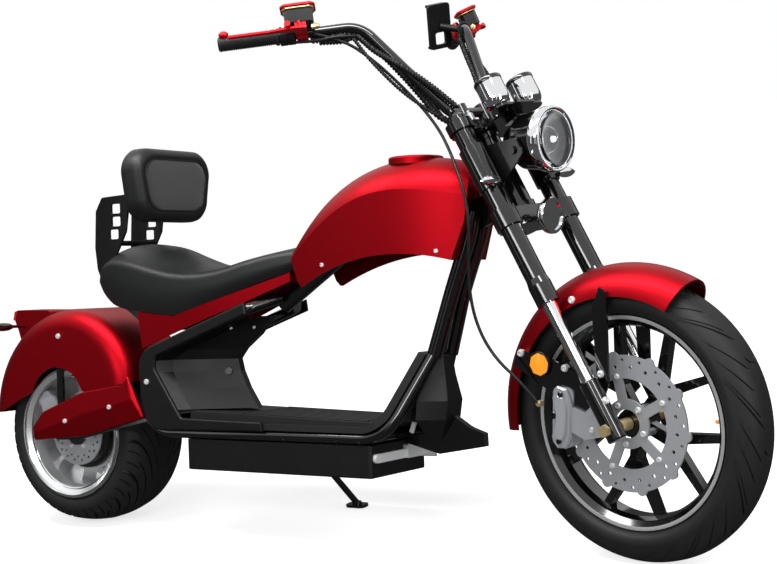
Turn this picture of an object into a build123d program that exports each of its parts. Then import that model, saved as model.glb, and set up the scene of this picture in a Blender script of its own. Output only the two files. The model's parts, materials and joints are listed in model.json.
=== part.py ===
from build123d import *
import math
import os

os.makedirs("parts", exist_ok=True)

# Electric chopper scooter, in millimetres.
# Every piece of the chassis is drawn upright: X forward from the rear axle, Y to the left, Z up
# from the ground. The steered pieces are drawn in the fork's own frame: X forward, Y to the left,
# Z up along the steering axis. Each wheel is drawn about its own axle, which is Y.
# At the end every piece is placed as the scooter parks, leaning on its side stand.

# Wheels and steering
WHEELBASE = 1532
RAKE = 27.9
FORK_OFFSET = 24
STEER_AT_REST = -11.4
FRONT_TYRE_RADIUS = 297
FRONT_TYRE_HALF_WIDTH = 56
FRONT_CROWN = 56
REAR_TYRE_RADIUS = 235
REAR_TYRE_HALF_WIDTH = 103
REAR_CROWN = 190

# Parking place of the whole scooter
LEAN = 8
FRAME_X = -782.9
FRAME_Y = -200.5

# Clearances
SEAT_GAP = 0.3
BEARING_GAP = 0.4

# Frame tubes
CRADLE_TUBE = 13.5
DOWN_TUBE = 17.5
BACKBONE_TUBE = 21
CRADLE_Y = 105
CRADLE_Z = 247

# Fork
LEG_SPACING = 99
STANCHION_RADIUS = 15
LEG_RADIUS = 22.5
COLLAR_RADIUS = 25
LUG_TOP = 108
LUG_BOTTOM = -26
COLLAR_BOTTOM = 288
COLLAR_TOP = 345
LEG_TOP = 735
LOWER_CLAMP = (468, 510)
UPPER_CLAMP = (702, 724)
STEM_RADIUS = 15
HEAD_TUBE_RADIUS = 28
AXLE_RADIUS = 7.5
BAR_RADIUS = 11
BAR_RISE = 38
BAR_HEIGHT = UPPER_CLAMP[1] + BAR_RISE

# The steering axis meets the axle's level at this point of the upright scooter
rake = math.radians(RAKE)
FRONT_AXLE = Vector(WHEELBASE, 0, FRONT_TYRE_RADIUS)
REAR_AXLE = Vector(0, 0, REAR_TYRE_RADIUS)
STEER_BASE = FRONT_AXLE - Vector(math.cos(rake), 0, math.sin(rake)) * FORK_OFFSET
STEER_AXIS = Vector(-math.sin(rake), 0, math.cos(rake))

fork_frame = Location(Plane(STEER_BASE, x_dir=(math.cos(rake), 0, math.sin(rake)), z_dir=STEER_AXIS))
fork_turn = Location((0, 0, 0), (0, 0, STEER_AT_REST))
axle_place = Location((FORK_OFFSET, 0, 0))


def from_fork(forward, side, along):
    """A point of the straight fork, in the upright scooter's frame."""
    return (fork_frame * Location((forward, side, along))).position


def to_fork(x, z):
    """A point of the upright scooter's middle plane, as (forward, along) in the fork's frame."""
    arm = Vector(x, 0, z) - STEER_BASE
    return arm.dot(Vector(math.cos(rake), 0, math.sin(rake))), arm.dot(STEER_AXIS)


def lowest_point(place, radius, crown):
    """Height of the lowest point of a tyre whose axle lies along Y in the given place."""
    centre = place.position
    axle = (place * Location((0, 1, 0))).position - centre
    return centre.Z - (radius - crown) * math.sqrt(1 - axle.Z**2) - crown


# Parking: lean over, pitch until both tyres are level, then lift onto the ground
lean_place = Location((0, 0, 0), (-LEAN, 0, 0))
rear_wheel_spot = Location(REAR_AXLE)
front_wheel_spot = fork_frame * fork_turn * axle_place
rear_low = lowest_point(lean_place * rear_wheel_spot, REAR_TYRE_RADIUS, REAR_CROWN)
front_low = lowest_point(lean_place * front_wheel_spot, FRONT_TYRE_RADIUS, FRONT_CROWN)
pitch = math.degrees(math.atan2(front_low - rear_low, WHEELBASE))
level_place = Location((0, 0, 0), (0, pitch, 0)) * lean_place
lift = -lowest_point(level_place * rear_wheel_spot, REAR_TYRE_RADIUS, REAR_CROWN)

CHASSIS = Location((FRAME_X, FRAME_Y, lift)) * level_place
FORK = CHASSIS * fork_frame * fork_turn
FRONT_WHEEL = FORK * axle_place
REAR_WHEEL = CHASSIS * rear_wheel_spot


def store(piece, name, place):
    """Label a finished piece and write it where it stands on the parked scooter."""
    piece.part.label = name
    export_step(place * piece.part, f"parts/{name}.step")


def tube(points, radii, radius):
    """Sweep a round tube along straight runs joined by tangent arcs, inside the active part."""
    with BuildLine() as route:
        FilletPolyline(*points, radius=radii)
    start = route.line @ 0
    heading = route.line % 0
    with BuildSketch(Plane(start, z_dir=heading)) as section:
        Circle(radius)
    sweep(sections=section.sketch, path=route.line)


# Frame
# Spine: head tube with its bearing cups, gusset and the backbone under the tank
HEAD_BOTTOM = LOWER_CLAMP[1] + 3
HEAD_TOP = UPPER_CLAMP[0] - 3
head_plane = Plane(from_fork(0, 0, HEAD_BOTTOM), x_dir=(math.cos(rake), 0, math.sin(rake)), z_dir=STEER_AXIS)
BACKBONE = [(1225, 0, 800), (980, 0, 760), (800, 0, 665), (622, 0, 548)]

with BuildPart() as frame_spine:
    with BuildSketch(head_plane):
        Circle(HEAD_TUBE_RADIUS)
    extrude(amount=HEAD_TOP - HEAD_BOTTOM)
    for cup in (0, HEAD_TOP - HEAD_BOTTOM - 12):
        with BuildSketch(head_plane.offset(cup)):
            Circle(HEAD_TUBE_RADIUS + 4)
        extrude(amount=12)
    tube(BACKBONE, [120, 200], BACKBONE_TUBE)
    with BuildSketch(Plane.XZ) as gusset:
        with BuildLine():
            Polyline((1262, 748), (1158, 700), (1128, 640), (1112, 700), (1130, 780), (1212, 812), close=True)
        make_face()
    extrude(amount=5, both=True)
    with BuildSketch(head_plane):
        Circle(STEM_RADIUS + BEARING_GAP)
    extrude(amount=HEAD_TOP - HEAD_BOTTOM, mode=Mode.SUBTRACT)
store(frame_spine, "frame_spine", CHASSIS)

# Cradle: each side tube loops round the belly panels, runs under the footboard and climbs
# to its down tube, which meets the spine at the gusset
DOWN_Y = 24
cradle_route = [
    (634, 26, 566), (585, CRADLE_Y, 540), (262, CRADLE_Y, 427), (276, CRADLE_Y, CRADLE_Z),
    (968, CRADLE_Y, CRADLE_Z), (1063, 34, 440),
]
down_route = [(1060, 34, 432), (1105, DOWN_Y, 574), (1150, DOWN_Y, 690), (1163, DOWN_Y, 745)]


def cradle_side(side):
    with BuildPart() as cradle:
        tube([(x, y * side, z) for x, y, z in cradle_route], [36, 70, 75, 100], CRADLE_TUBE)
        tube([(x, y * side, z) for x, y, z in down_route], [400, 300], DOWN_TUBE)
        add(frame_spine.part, mode=Mode.SUBTRACT)
    return cradle


# Cross members between the cradle tubes: front, middle and rear under the footboard, one above
# the swingarm pivot and the seat's rear hoop
CROSS_TUBE = 11
cross_spots = [(930, CRADLE_Z), (420, CRADLE_Z), (300, 300), (300, 424)]
with BuildPart() as cross_members:
    for x, z in cross_spots:
        with BuildSketch(Plane(origin=(x, 0, z), z_dir=(0, 1, 0))):
            Circle(CROSS_TUBE)
        extrude(amount=CRADLE_Y, both=True)
    for side in (-1, 1):
        add(cradle_side(side).part, mode=Mode.SUBTRACT)
store(cradle_side(-1), "cradle_right", CHASSIS)
store(cradle_side(1), "cradle_left", CHASSIS)
store(cross_members, "cross_members", CHASSIS)

# Belly housing: a prow between the cradle loops. Its flanks start at the side covers' inner edge,
# drop behind it and draw together to a narrow nose, which leaves room for the rider's heels
NOSE_HALF = 9
PANEL_OUT = 127
PANEL_IN = CRADLE_Y + CRADLE_TUBE + SEAT_GAP
belly_sections = [
    # z, half width, x of the back, of the flank's edge, of the hollow, half width there, x of the nose
    (302, 116, 318, 372, 396, 86, 543),
    (351, 116, 318, 338, 362, 84, 511),
    (392, 116, 300, 314, 338, 80, 492),
    (421, 116, 300, 308, 332, 74, 485),
    (446, 114, 340, 356, 374, 64, 506),
    (480, 110, 436, 450, 464, 54, 552),
    (523, 92, 552, 560, 566, 44, 590),
]
with BuildPart() as belly_housing:
    for z, half, back, edge, hollow, hollow_half, nose in belly_sections:
        with BuildSketch(Plane.XY.offset(z)):
            with BuildLine():
                Polyline((back, -half), (edge, -half), (hollow, -hollow_half), (nose, -NOSE_HALF),
                         (nose, NOSE_HALF), (hollow, hollow_half), (edge, half), (back, half), close=True)
            make_face()
    loft(ruled=True)
    add(cross_members.part, mode=Mode.SUBTRACT)
    add(frame_spine.part, mode=Mode.SUBTRACT)
    for side in (-1, 1):
        add(cradle_side(side).part, mode=Mode.SUBTRACT)
store(belly_housing, "belly_housing", CHASSIS)


def belly_panel(side):
    """Side cover over the cradle loop: a band round the housing's hollow, its edges rounded."""
    with BuildPart() as panel:
        with BuildSketch(Plane.XZ.offset(-side * PANEL_IN)):
            with BuildLine():
                Polyline((600, 559), (262, 442), (276, 252), (640, 258), (640, 280), (396, 284), (316, 402),
                         (320, 432), (604, 531), close=True)
            make_face()
            fillet(vertices().filter_by_position(Axis.X, 310, 400), radius=12)
            fillet(vertices().filter_by_position(Axis.X, 250, 280), radius=60)
        extrude(amount=-side * (PANEL_OUT - PANEL_IN))
        outer = faces().sort_by(Axis.Y)[0 if side < 0 else -1]
        fillet(outer.edges(), radius=5)
    return panel


with BuildPart() as belly_panels:
    for side in (-1, 1):
        add(belly_panel(side).part)
store(belly_panels, "belly_panels", CHASSIS)

# Footboard: a sheet on the cradle tubes that climbs with them at the front, and on it a ribbed
# platform that rises towards the seat
FLOOR_SHEET = 14
FLOOR_BACK = 410
FLOOR_HALF = CRADLE_Y + CRADLE_TUBE
CLIMB_SHORT = 14
RIB_PITCH = 22
foot_corner = cradle_route[4]
climb_top = cradle_route[5]
climb = math.atan2(climb_top[2] - foot_corner[2], climb_top[0] - foot_corner[0])


def over_tube(distance):
    """Corner and top of the climb, at a distance above the cradle tube's middle line."""
    corner = (foot_corner[0] - distance * math.tan(climb / 2), foot_corner[2] + distance)
    top = (climb_top[0] - distance * math.sin(climb) - CLIMB_SHORT * math.cos(climb),
           climb_top[2] + distance * math.cos(climb) - CLIMB_SHORT * math.sin(climb))
    return corner, top


low_corner, low_top = over_tube(CRADLE_TUBE + SEAT_GAP)
high_corner, high_top = over_tube(CRADLE_TUBE + SEAT_GAP + FLOOR_SHEET)
platform_back = Vector(FLOOR_BACK, 0, 299)
platform_front = Vector(930, 0, 284)
platform_run = platform_front - platform_back
platform_plane = Plane((platform_back + platform_front) / 2, x_dir=platform_run,
                       z_dir=platform_run.cross(Vector(0, -1, 0)) * -1)
with BuildPart() as footboard:
    with BuildSketch(Plane.XZ):
        with BuildLine():
            Polyline((FLOOR_BACK, low_corner[1]), low_corner, low_top, high_top, high_corner,
                     (FLOOR_BACK, high_corner[1]), close=True)
        make_face()
        fillet(vertices().filter_by_position(Axis.X, high_corner[0] - 1, low_corner[0] + 1), radius=80)
    extrude(amount=FLOOR_HALF, both=True)
    with BuildSketch(Plane.XY):
        with BuildLine():
            Polyline((FLOOR_BACK, -FLOOR_HALF), (950, -FLOOR_HALF), (1044, -48), (1060, -44), (1060, 44),
                     (1044, 48), (950, FLOOR_HALF), (FLOOR_BACK, FLOOR_HALF), close=True)
        make_face()
    extrude(amount=500, mode=Mode.INTERSECT)
    with BuildSketch(Plane.XZ):
        with BuildLine():
            Polyline((platform_back.X, 268), (platform_front.X, 268), (platform_front.X, platform_front.Z),
                     (platform_back.X, platform_back.Z), close=True)
        make_face()
    extrude(amount=FLOOR_HALF - 14, both=True)
    with BuildSketch(platform_plane):
        with Locations((68, 0)):
            with GridLocations(0, RIB_PITCH, 1, 9):
                Rectangle(356, RIB_PITCH / 2)
    extrude(amount=2.5)
    for side in (-1, 1):
        add(cradle_side(side).part, mode=Mode.SUBTRACT)
store(footboard, "footboard", CHASSIS)

# Battery box slung under the cradle, and the latch across its front end
BATTERY_X = (403, 936)
BATTERY_HALF = 114.5
BATTERY_BOTTOM = 159.5
BATTERY_TOP = CRADLE_Z - CRADLE_TUBE - SEAT_GAP
with BuildPart() as battery_box:
    with BuildSketch(Plane.XY.offset(BATTERY_BOTTOM)):
        with Locations((sum(BATTERY_X) / 2, 0)):
            RectangleRounded(BATTERY_X[1] - BATTERY_X[0], 2 * BATTERY_HALF, 8)
    extrude(amount=BATTERY_TOP - BATTERY_BOTTOM)
    fillet(faces().sort_by(Axis.Z)[0].edges(), radius=4)
store(battery_box, "battery_box", CHASSIS)

LATCH_Z = 204
with BuildPart() as battery_latch:
    with BuildSketch(Plane.YZ.offset(BATTERY_X[1])):
        with Locations((-3, LATCH_Z)):
            RectangleRounded(206, 20, 9)
    extrude(amount=8)
    with BuildSketch(Plane.YZ.offset(BATTERY_X[1])):
        with Locations((60, LATCH_Z + 5)):
            RectangleRounded(84, 32, 4)
    extrude(amount=14)
    with BuildSketch(Plane.YZ.offset(BATTERY_X[1] + 14)):
        with Locations((78, LATCH_Z + 6)):
            Circle(9)
    extrude(amount=3)
    with BuildSketch(Plane.YZ.offset(BATTERY_X[1])):
        with Locations((98, LATCH_Z + 5)):
            Rectangle(6, 40)
    extrude(amount=40)
store(battery_latch, "battery_latch", CHASSIS)

# Front cover: a pouch hung between the climbing tubes by a strap, over the bracket of the nose
cover_sections = [
    # z, x of the back, half width of the back, x of the front, half width of the front
    (236, 1030, 16, 1056, 12),
    (288, 1022, 60, 1084, 32),
    (330, 1024, 58, 1090, 34),
    (385, 1040, 50, 1080, 24),
    (430, 1056, 34, 1074, 20),
]
with BuildPart() as front_cover:
    for z, back, back_half, front, front_half in cover_sections:
        with BuildSketch(Plane.XY.offset(z)):
            with BuildLine():
                Polyline((back, -back_half), (front, -front_half), (front, front_half), (back, back_half), close=True)
            make_face()
            fillet(vertices().sort_by(Axis.X)[-2:], radius=7)
    loft(ruled=True)
    for side in (-1, 1):
        add(cradle_side(side).part, mode=Mode.SUBTRACT)
    add(footboard.part, mode=Mode.SUBTRACT)
store(front_cover, "front_cover", CHASSIS)

# Nose bracket: a narrow plate from the front cross member, under the cover and out ahead of it
BRACKET_HALF = 10
with BuildPart() as front_bracket:
    with BuildSketch(Plane.XZ):
        with BuildLine():
            Polyline((930, 240), (1051, 209), (1166, 229), (1165, 258), (1127, 271), (1085, 298), (1052, 298),
                     (1036, 252), (930, 254), close=True)
        make_face()
        fillet(vertices().filter_by_position(Axis.X, 1120, 1130), radius=60)
    extrude(amount=BRACKET_HALF, both=True)
    add(cross_members.part, mode=Mode.SUBTRACT)
    add(front_cover.part, mode=Mode.SUBTRACT)
    add(footboard.part, mode=Mode.SUBTRACT)
store(front_bracket, "front_bracket", CHASSIS)

# Tank cover: a loft of arched sections along X, hollow and open below, its underside arched
tank_sections = [
    # x, half width, height of the shoulder, height of the crown
    (700, 76, 650, 690),
    (820, 92, 745, 812),
    (930, 100, 790, 858),
    (1060, 94, 795, 868),
    (1170, 62, 780, 845),
]
TANK_FLOOR = 480
TANK_WALL = 5


def tank_section(x, half, shoulder, crown):
    """An arched section of the tank at x, from the floor up to its crown."""
    rise = crown - shoulder
    with BuildSketch(Plane(origin=(x, 0, 0), x_dir=(0, 1, 0), z_dir=(1, 0, 0))) as section:
        with BuildLine():
            Polyline((-half, shoulder), (-half, TANK_FLOOR), (half, TANK_FLOOR), (half, shoulder))
            ThreePointArc((half, shoulder), (half * 0.7, shoulder + rise * 0.66), (0, crown))
            ThreePointArc((0, crown), (-half * 0.7, shoulder + rise * 0.66), (-half, shoulder))
        make_face()
    return section.sketch


def side_cut(points, half):
    """Cut a prism across the active part, its outline given in the XZ plane."""
    with BuildSketch(Plane.XZ) as profile:
        with BuildLine():
            Polyline(*points, close=True)
        make_face()
    extrude(profile.sketch, amount=half, both=True, mode=Mode.SUBTRACT)


with BuildPart() as tank_hollow:
    loft([tank_section(x, half - TANK_WALL, shoulder - TANK_WALL, crown - TANK_WALL)
          for x, half, shoulder, crown in tank_sections])
    with BuildSketch(Plane.XY):
        with Locations((916, 0)):
            Rectangle(400, 400)
    extrude(amount=1000, mode=Mode.INTERSECT)

with BuildPart() as tank_cover:
    loft([tank_section(x, half, shoulder, crown) for x, half, shoulder, crown in tank_sections])
    with BuildSketch(Plane.XZ):
        with BuildLine():
            Polyline((1150, 634), (1260, 470), (690, 470), (690, 590), (740, 590))
            ThreePointArc((740, 590), (950, 655), (1150, 634))
        make_face()
    extrude(amount=200, both=True, mode=Mode.SUBTRACT)
    side_cut([(680, 720), (724, 602), (744, 580), (680, 560)], 200)
    side_cut([(1120, 600), (1162, 720), (1174, 800), (1150, 880), (1260, 880), (1260, 600)], 200)
    add(tank_hollow.part, mode=Mode.SUBTRACT)
    side_cut([(1085, 560), (1122, 700), (1136, 772), (1260, 772), (1260, 560)], 46)
    add(frame_spine.part, mode=Mode.SUBTRACT)
store(tank_cover, "tank_cover", CHASSIS)

# Filler cap on the tank's crown
CAP_X = 1005
with BuildPart() as tank_cap:
    with BuildSketch(Plane.XY.offset(856)):
        with Locations((CAP_X, 0)):
            Circle(62)
    extrude(amount=18)
    fillet(edges().sort_by(Axis.Z)[-1], radius=6)
    add(tank_cover.part, mode=Mode.SUBTRACT)
    add(tank_hollow.part, mode=Mode.SUBTRACT)
store(tank_cap, "tank_cap", CHASSIS)

# Seat: a red pan on the frame rails and a padded cushion with a raised rear
SEAT_LINE = [(100, 612), (184, 552), (264, 541), (376, 529), (561, 586), (720, 636)]
seat_sections = [
    # x, half width, height of the edge, height of the crown
    (128, 92, 612, 640),
    (190, 118, 652, 696),
    (260, 126, 660, 708),
    (350, 126, 640, 684),
    (450, 116, 632, 644),
    (570, 94, 654, 658),
    (694, 66, 674, 684),
]
with BuildPart() as seat_cushion:
    for x, half, edge, crown in seat_sections:
        with BuildSketch(Plane(origin=(x, 0, 0), x_dir=(0, 1, 0), z_dir=(1, 0, 0))):
            with BuildLine():
                Polyline((-half, edge), (-half, 500), (half, 500), (half, edge))
                ThreePointArc((half, edge), (0, crown), (-half, edge))
            make_face()
    loft()
    side_cut([(90, 612), *SEAT_LINE[1:], (740, 480), (90, 480)], 160)
store(seat_cushion, "seat_cushion", CHASSIS)

PAN_WALL = 4
PAN_HALF = 120
pan_plan = [(250, PAN_HALF), (376, 119), (450, 112), (561, 91), (690, 62)]


def pan_form(profile, inset):
    """A side profile trimmed to the pan's plan, which tapers towards the tank."""
    edge = [(x, half - inset) for x, half in pan_plan]
    other_edge = [(x, -half) for x, half in reversed(edge)]
    with BuildPart() as form:
        with BuildSketch(Plane.XZ):
            with BuildLine():
                Polyline(*profile, close=True)
            make_face()
        extrude(amount=PAN_HALF, both=True)
        with BuildSketch(Plane.XY):
            with BuildLine():
                Spline(*edge)
                Line(edge[-1], other_edge[0])
                Spline(*other_edge)
                Line(other_edge[-1], edge[0])
            make_face()
        extrude(amount=900, mode=Mode.INTERSECT)
    return form


with BuildPart() as seat_pan:
    add(pan_form([(264, 540.7), (376, 528.7), (561, 585.7), (689, 625), (689, 604), (553, 551), (397, 495),
                  (276, 452)], 0).part)
    add(pan_form([(270, 535), (376, 523), (561, 580), (684, 618), (684, 580), (553, 540), (397, 480),
                  (272, 430)], PAN_WALL).part, mode=Mode.SUBTRACT)
    for side in (-1, 1):
        add(cradle_side(side).part, mode=Mode.SUBTRACT)
    add(frame_spine.part, mode=Mode.SUBTRACT)
    add(cross_members.part, mode=Mode.SUBTRACT)
store(seat_pan, "seat_pan", CHASSIS)

# Backrest: a slotted bracket behind the seat carrying a padded rest
PAD_X = 268
PAD_Z = 852
PAD_TILT = 12
with BuildPart() as backrest_pad:
    with BuildSketch(Plane(origin=(PAD_X, 0, PAD_Z), x_dir=(0, 1, 0), z_dir=(1, 0, 0)).rotated((0, 0, 0))):
        RectangleRounded(280, 180, 62)
    extrude(amount=32, both=True)
    fillet(edges().filter_by(GeomType.LINE, reverse=True).filter_by(Axis.X, reverse=True), radius=16)
store(backrest_pad, "backrest_pad", CHASSIS)

ARM_Y = 66
BRACKET_SLOTS = [(158, 800), (158, 768), (150, 736)]
with BuildPart() as backrest_bracket:
    for side in (-1, 1):
        with BuildSketch(Plane.XZ.offset(-side * ARM_Y)):
            with BuildLine():
                Polyline((222, 520), (112, 596), (90, 650), (84, 704), (90, 796), (112, 830), (196, 834),
                         (198, 790), (190, 742), (146, 668), (140, 624), (236, 542), close=True)
            make_face()
            fillet(vertices().filter_by_position(Axis.X, 80, 195), radius=9)
            with Locations(*BRACKET_SLOTS):
                RectangleRounded(30, 24, 4, mode=Mode.SUBTRACT)
        extrude(amount=6)
    with BuildSketch(Plane(origin=(196, 0, 826), x_dir=(0, 1, 0), z_dir=(1, 0, 0))):
        Rectangle(2 * ARM_Y + 12, 56)
    extrude(amount=PAD_X - 32 - SEAT_GAP - 196)
    with BuildSketch(Plane(origin=(100, -ARM_Y, 716), z_dir=(0, 1, 0))):
        Circle(7)
    extrude(amount=2 * ARM_Y)
    with BuildSketch(Plane(origin=(124, -ARM_Y, 606), z_dir=(0, 1, 0))):
        Circle(9)
    extrude(amount=2 * ARM_Y)
    add(seat_cushion.part, mode=Mode.SUBTRACT)
    add(seat_pan.part, mode=Mode.SUBTRACT)
store(backrest_bracket, "backrest_bracket", CHASSIS)

# Rear fender: a deep shell over the wide tyre, with an arched opening in each side
FENDER_HALF = 127
FENDER_WALL = 4


FENDER_REAR = REAR_TYRE_RADIUS + 44
FENDER_FRONT = REAR_TYRE_RADIUS - 35
FENDER_TOP = (20, 2 * REAR_TYRE_RADIUS + 81)


def fender_body(shrink, half, edge):
    """The fender's outer form, shrunk all round: two arcs that meet at its top."""
    x, z = FENDER_TOP
    rear = x - FENDER_REAR + shrink
    front = x + FENDER_FRONT - shrink
    with BuildPart() as body:
        with BuildSketch(Plane.XZ):
            with BuildLine():
                Line((rear, 180), (rear, z - FENDER_REAR))
                RadiusArc((rear, z - FENDER_REAR), (x, z - shrink), FENDER_REAR - shrink)
                RadiusArc((x, z - shrink), (front, z - FENDER_FRONT), FENDER_FRONT - shrink)
                Polyline((front, z - FENDER_FRONT), (front, 180), (rear, 180))
            make_face()
        extrude(amount=half, both=True)
        rim = faces().filter_by(Axis.Y).edges().filter_by(lambda e: e.center().Z > 190)
        fillet(rim, radius=edge)
    return body


with BuildPart() as rear_fender:
    add(fender_body(0, FENDER_HALF, 48).part)
    add(fender_body(FENDER_WALL, FENDER_HALF - FENDER_WALL, 44).part, mode=Mode.SUBTRACT)
    with BuildSketch(Plane.XZ):
        with BuildLine():
            Polyline((72, 345), (100, 336), (238, 374), (300, 374), (300, 150), (-320, 150), (-320, 270), (-215, 289),
                     (-104, 340))
            ThreePointArc((-104, 340), (-20, 404), (72, 345))
        make_face()
    extrude(amount=200, both=True, mode=Mode.SUBTRACT)
    add(backrest_bracket.part, mode=Mode.SUBTRACT)
    add(cross_members.part, mode=Mode.SUBTRACT)
    for side in (-1, 1):
        add(cradle_side(side).part, mode=Mode.SUBTRACT)
    add(seat_pan.part, mode=Mode.SUBTRACT)
    add(seat_cushion.part, mode=Mode.SUBTRACT)
store(rear_fender, "rear_fender", CHASSIS)

# Tail: a small housing on the fender's crown, its lamp and the two indicators
with BuildPart() as tail_housing:
    with BuildSketch(Plane.XZ):
        with BuildLine():
            Polyline((-236, 520), (-228, 550), (-110, 548), (-96, 500), (-200, 425), (-226, 500), close=True)
        make_face()
    extrude(amount=52, both=True)
    fillet(edges().filter_by(Axis.Y).sort_by(Axis.Z)[-2:], radius=8)
    add(rear_fender.part, mode=Mode.SUBTRACT)
    add(fender_body(FENDER_WALL, FENDER_HALF - FENDER_WALL, 44).part, mode=Mode.SUBTRACT)
store(tail_housing, "tail_housing", CHASSIS)

with BuildPart() as tail_lamp:
    with BuildSketch(Plane.XZ):
        with BuildLine():
            Polyline((-236, 520), (-228, 550), (-244, 546), (-250, 524), close=True)
        make_face()
    extrude(amount=46, both=True)
store(tail_lamp, "tail_lamp", CHASSIS)

INDICATOR_RADIUS = 11


def indicator_pair(x, z, root, tip):
    """Two bullet indicators whose stalks start at y = root and whose bodies end at y = tip."""
    with BuildPart() as pair:
        for side in (-1, 1):
            with BuildSketch(Plane(origin=(x, side * root, z), x_dir=(1, 0, 0), z_dir=(0, side, 0))):
                Circle(4.5)
            extrude(amount=tip - 50 - root)
            with BuildSketch(Plane.XY.offset(z)):
                with BuildLine():
                    Line((x, side * (tip - 62)), (x, side * tip))
                    ThreePointArc((x, side * tip), (x + INDICATOR_RADIUS * 0.93, side * (tip - 26)),
                                  (x + INDICATOR_RADIUS * 0.5, side * (tip - 62)))
                    Line((x + INDICATOR_RADIUS * 0.5, side * (tip - 62)), (x, side * (tip - 62)))
                make_face()
            revolve(axis=Axis((x, 0, z), (0, 1, 0)))
    return pair


rear_indicators = indicator_pair(-205, 508, 52, 165)
store(rear_indicators, "rear_indicators", CHASSIS)

# Swingarm: two arms from the pivot to the rear axle, with bolted red covers outside
ARM_IN = 109
ARM_OUT = 126
PIVOT = (300, 300)
with BuildPart() as swingarm:
    for side in (-1, 1):
        with BuildSketch(Plane.XZ.offset(-side * ARM_IN)):
            with BuildLine():
                Polyline((-32, REAR_AXLE.Z - 17), (60, REAR_AXLE.Z - 13), (318, 280), (318, 322),
                         (60, REAR_AXLE.Z + 41), (-32, REAR_AXLE.Z + 23), close=True)
            make_face()
            fillet(vertices().filter_by_position(Axis.X, -40, -20), radius=14)
        extrude(amount=-side * (ARM_OUT - ARM_IN))
    with BuildSketch(Plane(origin=(PIVOT[0], -ARM_IN, PIVOT[1]), z_dir=(0, 1, 0))):
        Circle(17)
        Circle(CROSS_TUBE + SEAT_GAP, mode=Mode.SUBTRACT)
    extrude(amount=2 * ARM_IN)
    for side in (-1, 1):
        add(cradle_side(side).part, mode=Mode.SUBTRACT)
        add(belly_panel(side).part, mode=Mode.SUBTRACT)
    add(cross_members.part, mode=Mode.SUBTRACT)
    add(belly_housing.part, mode=Mode.SUBTRACT)
    with BuildSketch(Plane(origin=(0, -ARM_OUT, REAR_AXLE.Z), z_dir=(0, 1, 0))):
        Circle(8 + SEAT_GAP)
    extrude(amount=2 * ARM_OUT, mode=Mode.SUBTRACT)
store(swingarm, "swingarm", CHASSIS)


def swingarm_cover(side):
    with BuildPart() as cover:
        with BuildSketch(Plane.XZ.offset(-side * (FENDER_HALF + SEAT_GAP))):
            with BuildLine():
                Polyline((-98, 258), (-60, 290), (80, 342), (213, 362), (236, 384), (284, 282), (88, 232), (-94, 213),
                         close=True)
            make_face()
            fillet(vertices().filter_by_position(Axis.X, -100, -90), radius=12)
        extrude(amount=-side * 15)
        face = faces().sort_by(Axis.Y)[0 if side < 0 else -1]
        chamfer(face.edges(), length=6)
        add(belly_panel(side).part, mode=Mode.SUBTRACT)
        add(rear_fender.part, mode=Mode.SUBTRACT)
    return cover


with BuildPart() as swingarm_covers:
    for side in (-1, 1):
        add(swingarm_cover(side).part)
store(swingarm_covers, "swingarm_covers", CHASSIS)

with BuildPart() as rear_axle:
    with BuildSketch(Plane(origin=(0, -ARM_OUT, REAR_AXLE.Z), z_dir=(0, 1, 0))):
        Circle(8)
    extrude(amount=2 * ARM_OUT)
store(rear_axle, "rear_axle", CHASSIS)

with BuildPart() as fender_stays:
    for side in (-1, 1):
        with BuildSketch(Plane.XZ.offset(-side * ARM_IN)):
            with Locations((-14, REAR_AXLE.Z + 137)):
                RectangleRounded(19, 216, 9)
        extrude(amount=-side * 8)
        with BuildSketch(Plane(origin=(-14, side * 117, REAR_AXLE.Z + 233), x_dir=(1, 0, 0), z_dir=(0, side, 0))):
            Circle(8)
        extrude(amount=FENDER_HALF - FENDER_WALL - 117)
    add(rear_fender.part, mode=Mode.SUBTRACT)
    add(swingarm.part, mode=Mode.SUBTRACT)
store(fender_stays, "fender_stays", CHASSIS)

# Rear brake caliper on its hanger inside the right arm
with BuildPart() as rear_caliper:
    with BuildSketch(Plane.XZ.offset(ARM_IN)):
        with BuildLine():
            Polyline((-30, 240), (10, 262), (-52, 330), (-92, 318), (-84, 270), close=True)
        make_face()
        fillet(vertices(), radius=8)
    extrude(amount=-8)
    with BuildSketch(Plane.XZ.offset(ARM_IN - 8)):
        with Locations(Location((-72, 306), -46)):
            RectangleRounded(64, 46, 10)
    extrude(amount=-46)
    with BuildSketch(Plane(origin=(0, -50, REAR_AXLE.Z), z_dir=(0, -1, 0))):
        Circle(92)
    extrude(amount=30, mode=Mode.SUBTRACT)
    add(swingarm.part, mode=Mode.SUBTRACT)
store(rear_caliper, "rear_caliper", CHASSIS)

# Rear wheel: hub motor, spoked deep rim, tyre and small disc, all about the axle
BEAD_RADIUS = 152
REAR_FLANGE = 167
MOTOR_RADIUS = 96
REAR_NOSE = 34
REAR_DISC_Y = 71
REAR_RIM_HALF = 101


def ring(points):
    """Revolve an outline given as (y, radius) about the wheel's axle."""
    with BuildSketch(Plane.YZ) as section:
        with BuildLine():
            Polyline(*points, close=True)
        make_face()
    revolve(section.sketch, axis=Axis.Y)


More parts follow.
